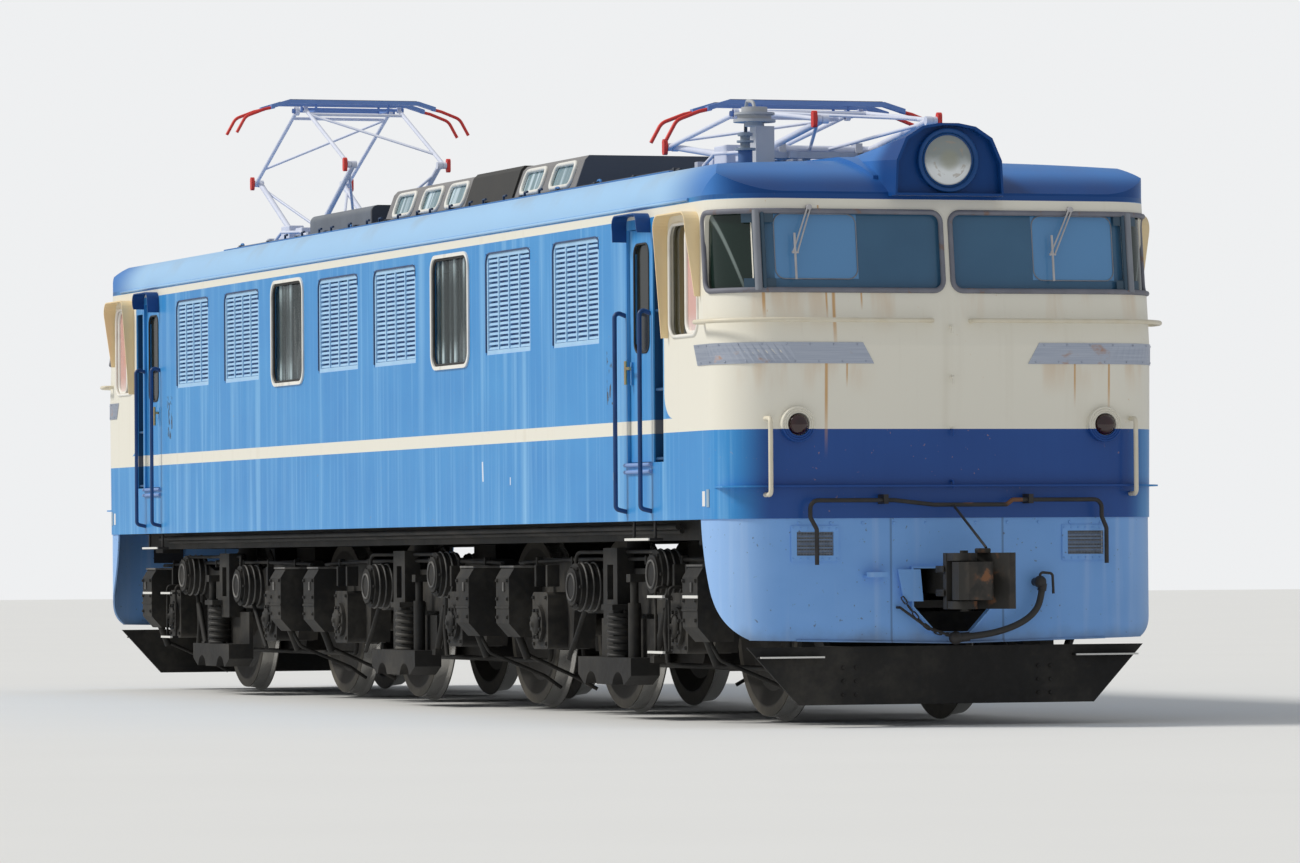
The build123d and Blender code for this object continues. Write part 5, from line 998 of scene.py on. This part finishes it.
PALE_TUBE = ((0.66, 0.70, 0.84), (0.78, 0.81, 0.92))
tube_paint = tube_finish("tube_paint", 7.0, *PALE_TUBE)
lower_paint = tube_finish("lower_paint", 7.0, *PALE_TUBE, 0.392, rough=0.3)
head_paint = tube_finish("head_paint", 8.0, (0.130, 0.240, 0.560), (0.20, 0.33, 0.66), 0.661,
                         wear=0.25, depth=0.001)
base_paint, p = finish("base_paint", "collector_grey")
x, y, z = p.parts()
age = p.noise(12.0, detail=4)
porcelain = (age.ramp(0.52, 0.62) * 0.7).tint((0.62, 0.61, 0.60), (0.50, 0.20, 0.07))
metal = age.tint((0.42, 0.45, 0.53), (0.58, 0.60, 0.66))
lay_on(base_paint, ((z < 3.488) * (abs(y) > 0.30)).tint(metal, porcelain), age * 0.3 + 0.25, age, 0.001)
dress(base_paint, "pantograph_bases")
graphite = clouded("graphite", "wheel_steel", 20.0, (0.06, 0.06, 0.065), (0.17, 0.165, 0.16), 0.5,
                   (1, 0.3, 1), Metallic=0.3)
sheds = []
for end, x0 in (("front", 5.0), ("rear", -5.3)):
    name = "pantograph_%s_" % end
    dress(tube_paint, name + "upper_front", name + "upper_rear")
    dress(lower_paint, name + "lower_front", name + "lower_rear")
    dress(head_paint, name + "head")
    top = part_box(name + "head")[1][2]
    strips = [((x0 + sx * 0.15 - 0.017, x0 + sx * 0.15 + 0.017), (-0.51, 0.51), (top - 0.002, top + 0.004))
              for sx in (-1, 1)]
    plates("collector_strips_" + end, strips, graphite, 0.002, name + "head")
    springs = [[(x0 + sx * a, y_at, 3.492) for a in (0.30, 0.10)] for sx in (-1, 1) for y_at in (-0.06, 0.06)]
    bars("raising_springs_" + end, springs, 0.026, tube_paint, sides=12)
    cylinder = [(x0 + a, -0.195, 3.53) for a in (-0.30, 0.22)]
    bars("base_cylinder_" + end, [cylinder], 0.038, tube_paint, sides=16)
    # Gear cases, links and pipes on the base frame, all clear of the arms above
    cases = ((-0.30, -0.06, -0.46, -0.34, 3.490, 3.610), (0.08, 0.26, -0.45, -0.35, 3.490, 3.580),
             (-0.20, 0.16, 0.33, 0.45, 3.490, 3.590), (-0.06, 0.06, -0.10, 0.10, 3.515, 3.590),
             (-0.52, -0.44, -0.42, -0.36, 3.485, 3.545), (0.44, 0.52, 0.36, 0.42, 3.485, 3.545))
    boxes = [((x0 + a, x0 + b), (c, d), (e, f)) for a, b, c, d, e, f in cases]
    plates("base_cases_" + end, boxes, tube_paint, 0.008)
    links = (((-0.52, -0.455, 3.50), (-0.30, -0.455, 3.565), (0.24, -0.455, 3.545), (0.50, -0.455, 3.50)),
             ((-0.36, 0.10, 3.520), (-0.05, 0.10, 3.600), (0.34, 0.10, 3.520)),
             ((-0.50, 0.46, 3.50), (0.10, 0.46, 3.57), (0.50, 0.46, 3.50)),
             ((0.02, -0.30, 3.50), (0.02, -0.10, 3.60), (0.02, 0.30, 3.50)))
    cable = ((0.50, 0.30, 3.50), (0.58, 0.22, 3.52), (0.70, 0.15, 3.505), (0.80, 0.12, 3.47),
             (0.82, 0.11, 3.43))
    stays = [((sx * 0.60, s * 0.43, 3.497), (sx * 0.40, s * 0.255, 3.497)) for sx, s in quarters]
    for piece, routes, radius, material, bend in (("base_links_", links, 0.012, tube_paint, 0.03),
                                                  ("base_stays_", stays, 0.010, tube_paint, 0.0),
                                                  ("base_cable_", [cable], 0.011, black_rubber, 0.05)):
        placed = [[(x0 + a, b, c) for a, b, c in route] for route in routes]
        bars(piece + end, placed, radius, material, bend=bend)
    sheds += [(x0 + a, b, 3.412 + 0.021 * i) for i in range(4) for a in (-0.56, 0.56) for b in (-0.43, 0.43)]


def shed_nodes(tree, given):
    shed = step(tree, "MeshCone", Vertices=20, Radius_Bottom=given["Radius"], Radius_Top=0.045, Depth=0.011)
    return step(tree, "InstanceOnPoints", Points=given["Geometry"], Instance=shed)


grown("insulator_sheds", mesh_of("insulator_sheds", sheds), shed_nodes, base_paint, "body", None,
      Radius=0.078)


# Underframe and running gear
# Cast steel bogie frames with axle boxes, brake gear, sandboxes, springs and steps, all one dusty
# black, with oil on the boxes and a grey-brown bloom of brake dust.
def dusty(name, slot, dark, dust, amount=0.5, rough=0.6):
    made, p = finish(name, slot)
    grit = p.noise(19.0, detail=4)
    mask = (p.noise(2.2, detail=5) * 0.7 + grit * 0.3).ramp(0.40, 0.68) * amount
    return lay_on(made, mask.tint(dark, dust), grit * 0.25 + rough, grit, 0.003)


frame_black = dusty("frame_black", "cast_black", (0.006, 0.0055, 0.005), (0.070, 0.063, 0.052), 0.6)
under_black = dusty("under_black", "black_metal", (0.010, 0.0095, 0.009), (0.07, 0.062, 0.052), 0.5, 0.65)
motor_black = dusty("motor_black", None, (0.006, 0.0055, 0.005), (0.050, 0.041, 0.032))
spring_black = dusty("spring_black", "black_metal", (0.012, 0.011, 0.010), (0.10, 0.092, 0.078), 0.6, 0.5)
# Sandbox lids and drum hoops are painted a paler grey: a painted highlight on their tops and ribs
highlight_grey = dusty("highlight_grey", "black_metal", (0.060, 0.058, 0.056), (0.24, 0.23, 0.215), 0.7, 0.45)
# The bogies' gear has pale edges on its steps and on the plough's shelf
gear_black, p = finish("gear_black", "black_metal")
x, y, z = p.parts()
h, along = z - RAIL, abs(x)
grit = p.noise(21.0, detail=4)
sooty = (p.noise(2.6, detail=5) * 0.7 + grit * 0.3).ramp(0.42, 0.70) * 0.55
sooty = sooty.tint((0.005, 0.0045, 0.004), (0.062, 0.056, 0.046))
step_edge = (abs(y) > 1.287) * (h.between(0.734, 0.751) | h.between(0.394, 0.411)) * (along > 5.0)
shelf_edge = (along > 7.612) * h.between(0.379, 0.391)
lay_on(gear_black, (step_edge | shelf_edge).tint(sooty, (0.72, 0.71, 0.68)), grit * 0.25 + 0.6, grit, 0.003)
dress(under_black, "deck", "underframe", "cross_members")
for which in ("front", "middle", "rear"):
    dress(frame_black, "bogie_frame_" + which)
    dress(gear_black, "bogie_gear_" + which)
    dress(motor_black, "motors_" + which)
AXLES, AXLE_H, BOGIE_X = (6.1, 3.3, 1.4, -1.4, -3.3, -6.1), 0.560, 4.7


def wheel_finish(number, x0):
    """Turned tread and rim, bright on the running surface, with a dusty web; x0 is the axle."""
    made, p = finish("wheel_%d" % number)
    x, y, z = p.parts()
    square = (x - x0) * (x - x0) + (z - RAIL - AXLE_H) * (z - RAIL - AXLE_H)
    grit = p.noise(16.0, detail=4)
    web = (p.noise(4.0) * 0.9).tint((0.008, 0.007, 0.006), (0.060, 0.053, 0.044))
    rim = square.ramp(0.490 ** 2, 0.505 ** 2)
    tread = square.ramp(0.5515 ** 2, 0.5535 ** 2) * abs(y).between(0.50, 0.615)
    colour = rim.tint(web, grit.tint((0.050, 0.044, 0.034), (0.13, 0.115, 0.090)))
    return lay_on(made, tread.tint(colour, (0.52, 0.51, 0.49)), tread * -0.35 + 0.62, grit, 0.0015,
                  Metallic=tread * 0.8)


for number, x0 in enumerate(AXLES, 1):
    dress(wheel_finish(number, x0), "wheelset_%d" % number)
CAP = [(0.075, 0), (0.075, 0.012), (0.055, 0.026), (0.024, 0.030), (0.022, 0.040), (0, 0.042)]
AXLE_BOXES, SANDBOXES, DRUMS = (-1.4, 1.4), (-1.9, 1.9), ((-0.60, 0.80), (1.01, 0.88))
for which, centre, turn in (("front", BOGIE_X, 1), ("middle", 0.0, 1), ("rear", -BOGIE_X, -1)):
    body = "bogie_" + which

    def at(x, y, h):
        """A point of the bogie: x ahead of its middle, y to the left and h over the rail."""
        return Vector((centre + turn * x, turn * y, h + RAIL))

    def box(x, half, near, far, low, high):
        """A plate about x, from near to far across and from low to high over the rail."""
        middle = centre + turn * x
        return (middle - half, middle + half), (turn * near, turn * far), (RAIL + low, RAIL + high)

    bolts, rods, pipes, seats, small, hoops, lids = [], [], [], [], [], [], []
    for s in (-1, 1):
        heads = []
        for bx in AXLE_BOXES:
            heads += [at(bx + a, s * 1.218, AXLE_H + b) for a, b in circle(0.093, 8, 0.5)]
            heads += [at(bx + a, s * 1.192, AXLE_H + b) for b in (0.17, -0.13) for a in (-0.13, 0.13)]
            # Hangers and guide bars of the axle box
            small += [box(bx + a, 0.018, s * 1.10, s * 1.185, 0.80, 0.94) for a in (-0.12, 0.12)]
        for bx in SANDBOXES:
            heads += [at(bx + a, s * 1.292, h) for a in (-0.11, 0.11) for h in (0.60, 0.72, 0.84)]
            pipes.append([at(bx, s * 1.18, 0.50), at(bx * 1.03, s * 1.12, 0.36),
                          at(bx * 1.055, s * 0.75, 0.20), at(bx * 1.03, s * 0.62, 0.12)])
            # Lid, hinge and strap of the sandbox
            lids += [box(bx, 0.15, s * 1.07, s * 1.262, 0.924, 0.938),
                     box(bx + 0.035, 0.015, s * 1.289, s * 1.300, 0.77, 0.83)]
            small.append(box(bx, 0.15, s * 1.288, s * 1.296, 0.655, 0.672))
        for bx, bh in DRUMS:
            heads += [at(bx + a, s * 1.212, bh + b) for a, b in circle(0.133, 6)]
            hoops += [[at(bx + a, s * y_at, bh + b) for a, b in circle(0.152, 24)]
                      for y_at in (1.085, 1.130, 1.175)]
            hoops.append([at(bx + a, s * 1.238, bh + b) for a, b in circle(0.085, 20)])
        bolts += [(head, (0, s * turn, 0)) for head in heads]
        seats.append(at(0.17, s * 1.16, 0.362))
        # Brake rods between the shoes, the pull rods below the drums, and air pipes along the frame
        rods += [[at(a, s * y_at, h) for a, h in route] for y_at, route in (
            (0.70, ((-2.03, 0.50), (-1.98, 0.30), (1.98, 0.30), (2.03, 0.50))),
            (1.12, ((-0.60, 0.72), (-0.86, 0.47), (-1.02, 0.34))),
            (1.12, ((1.01, 0.80), (0.93, 0.52), (0.98, 0.33))))]
        pipes.append([at(a, s * 1.085, h)
                      for a, h in ((-2.15, 0.955), (-0.95, 0.975), (0.9, 0.975), (2.15, 0.955))])
        pipes.append([at(-0.60, s * 1.20, 0.95), at(-0.60, s * 1.20, 1.02), at(-0.30, s * 1.10, 1.02),
                      at(0.60, s * 1.10, 1.02), at(1.01, s * 1.20, 1.02)])
        small += [box(a, 0.012, s * 1.06, s * 1.105, 0.94, 0.995) for a in (-1.75, -1.0, -0.3, 0.5, 1.2, 1.8)]
    grown("springs_" + which, mesh_of("springs", seats), coil_nodes, spring_black, body, None,
          Radius=0.074, Wire=0.0145, Height=0.285, Turns=6.0)
    studs("gear_bolts_" + which, bolts, 0.014, 0.012, gear_black, body, sides=6)
    bars("brake_rods_" + which, rods, 0.017, gear_black, body, 0.06)
    bars("air_pipes_" + which, pipes, 0.013, gear_black, body, 0.05)
    plates("gear_plates_" + which, small, gear_black, 0.004, body)
    plates("sandbox_lids_" + which, lids, highlight_grey, 0.004, body)
    bars("drum_hoops_" + which, hoops, 0.008, highlight_grey, body, closed=True, sides=6)
    for k, (s, bx) in enumerate(((s, bx) for s in (-1, 1) for bx in AXLE_BOXES), 1):
        dome("box_cap_%s_%d" % (which, k), at(bx, s * 1.216, AXLE_H), (0, s * turn, 0), CAP,
             frame_black, 24, body)
for end, sx in ends:
    heads = [((sx * (BOGIE_X + 2.851), s * y_at, RAIL + h), (sx, 0, 0))
             for s in (-1, 1) for y_at in (0.58, 0.66) for h in (0.16, 0.24, 0.32)]
    studs("plough_bolts_" + end, heads, 0.013, 0.010, gear_black, "bogie_" + end, sides=6)
pipes = [[(sx * a, s * b, c) for sx in (-1, 1)]
         for a, b, c in ((6.3, 1.26, 1.195), (6.2, 1.20, 1.170)) for s in (-1, 1)]
bars("sill_pipes", pipes, 0.017, under_black)

# Cab
# Behind the glass: a steel desk with its dials and controller, a seat with padded leathercloth
# cushions, and bulkheads in pale green.
DECK_TOP, CUTS = 1.293, 8
cab_green = clouded("cab_green", "inside_green", 3.0, (0.17, 0.25, 0.21), (0.26, 0.34, 0.29), 0.6)
dress(cab_green, "bulkheads")
machine_grey = clouded("machine_grey", None, 2.0, (0.016, 0.014, 0.013), (0.060, 0.056, 0.054), 0.7,
                       (3, 1, 0.5))
dress(machine_grey, "machine_block")
cushion_cloth, p = finish("cushion_cloth", "rubber")
grain = p.noise(90.0)
lay_on(cushion_cloth, grain.tint((0.030, 0.050, 0.085), (0.070, 0.100, 0.150)), grain * 0.2 + 0.5,
       grain, 0.0008)


def cushion(name, x, y, z, crown, sign):
    """A padded block, crowned in the middle and drawn in at its edges, with a sewn channel across."""
    middle, half = zip(*(((a + b) / 2, (b - a) / 2) for a, b in (x, y, z)))
    thin = half.index(min(half))
    points, faces, numbers = [], [], {}

    def number_of(q):
        """The number of the point at q, where the block goes from -1 to 1 each way."""
        named = tuple(round(c, 4) for c in q)
        if named not in numbers:
            numbers[named] = len(points)
            swell = 1 - 0.10 * sum(abs(c) ** 6 for c in q) / 3
            place = [m + h * c * swell for m, h, c in zip(middle, half, q)]
            u, v = (abs(q[k]) for k in range(3) if k != thin)
            if q[thin]:
                place[thin] += crown * (1 - u ** 2) * (1 - v ** 2) * (1 if q[thin] > 0 else -0.3)
            if q[thin] > 0.9:
                place[thin] -= crown * 0.45 * math.exp(-(v / 0.10) ** 2)
            points.append((place[0] * sign, place[1] * sign, place[2]))
        return numbers[named]

    steps = [2 * i / CUTS - 1 for i in range(CUTS + 1)]
    for axis in range(3):
        for way in (-1, 1):
            grid = []
            for u in steps:
                for v in steps:
                    q = [0.0, 0.0, 0.0]
                    q[axis], q[(axis + 1) % 3], q[(axis + 2) % 3] = way, u, v
                    grid.append(number_of(q))
            for first in (i * (CUTS + 1) + j for i in range(CUTS) for j in range(CUTS)):
                a, b, c, d = (grid[first + k] for k in (0, 1, CUTS + 2, CUTS + 1))
                faces.append((a, d, c, b) if way > 0 else (a, b, c, d))
    made = solid(name, points, faces, cushion_cloth, smooth=True)
    rounding = made.modifiers.new("soft", "SUBSURF")
    rounding.levels = rounding.render_levels = 1


profile = [(7.090, 0), (7.400, 0), (7.440, 0.76), (7.440, 0.90), (7.000, 0.78), (7.000, 0.74), (7.150, 0.72)]
DIAL = [(0.052, -0.004), (0.052, 0.010), (0.045, 0.013), (0.043, 0.009), (0, 0.009)]
for end, sign in ends:
    points = [(sign * x, sign * y, DECK_TOP + z) for y in (0.150, 1.050) for x, z in profile]
    n = len(profile)
    faces = [tuple(range(n)), tuple(range(2 * n - 1, n - 1, -1))]
    faces += [(i, i + n, (i + 1) % n + n, (i + 1) % n) for i in range(n)]
    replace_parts(solid("desk_" + end, points, faces, cab_green, edge=0.012), "cab_interior")
    post = [(sign * 6.65, sign * 0.65, DECK_TOP + a) for a in (0, 0.43)]
    bars("seat_post_" + end, [post], 0.035, lamp_dark, sides=14)
    for part, x_ends, low, high, crown in (("pad", (6.43, 6.87), 0.435, 0.508, 0.016),
                                           ("back", (6.405, 6.455), 0.515, 0.985, 0.012)):
        z_ends = (DECK_TOP + low, DECK_TOP + high)
        cushion("seat_%s_%s" % (part, end), x_ends, (0.44, 0.86), z_ends, crown, sign)
    for k, y_at in enumerate((0.36, 0.52, 0.68, 0.84), 1):
        dome("dial_%s_%d" % (end, k), (sign * 7.30, sign * y_at, DECK_TOP + 0.868), (-0.26 * sign, 0, 0.96),
             DIAL, chrome, 24)
    lever = [(sign * a, sign * b, DECK_TOP + c)
             for a, b, c in ((7.12, 0.30, 0.80), (7.12, 0.30, 0.90), (7.05, 0.38, 0.91))]
    bars("controller_" + end, [lever], 0.012, lamp_dark, bend=0.02)
    visors = [[(sign * 7.42, sign * s * a, 2.98) for a in (0.15, 0.95)] for s in (-1, 1)]
    bars("sun_visor_rods_" + end, visors, 0.008, chrome, sides=6)
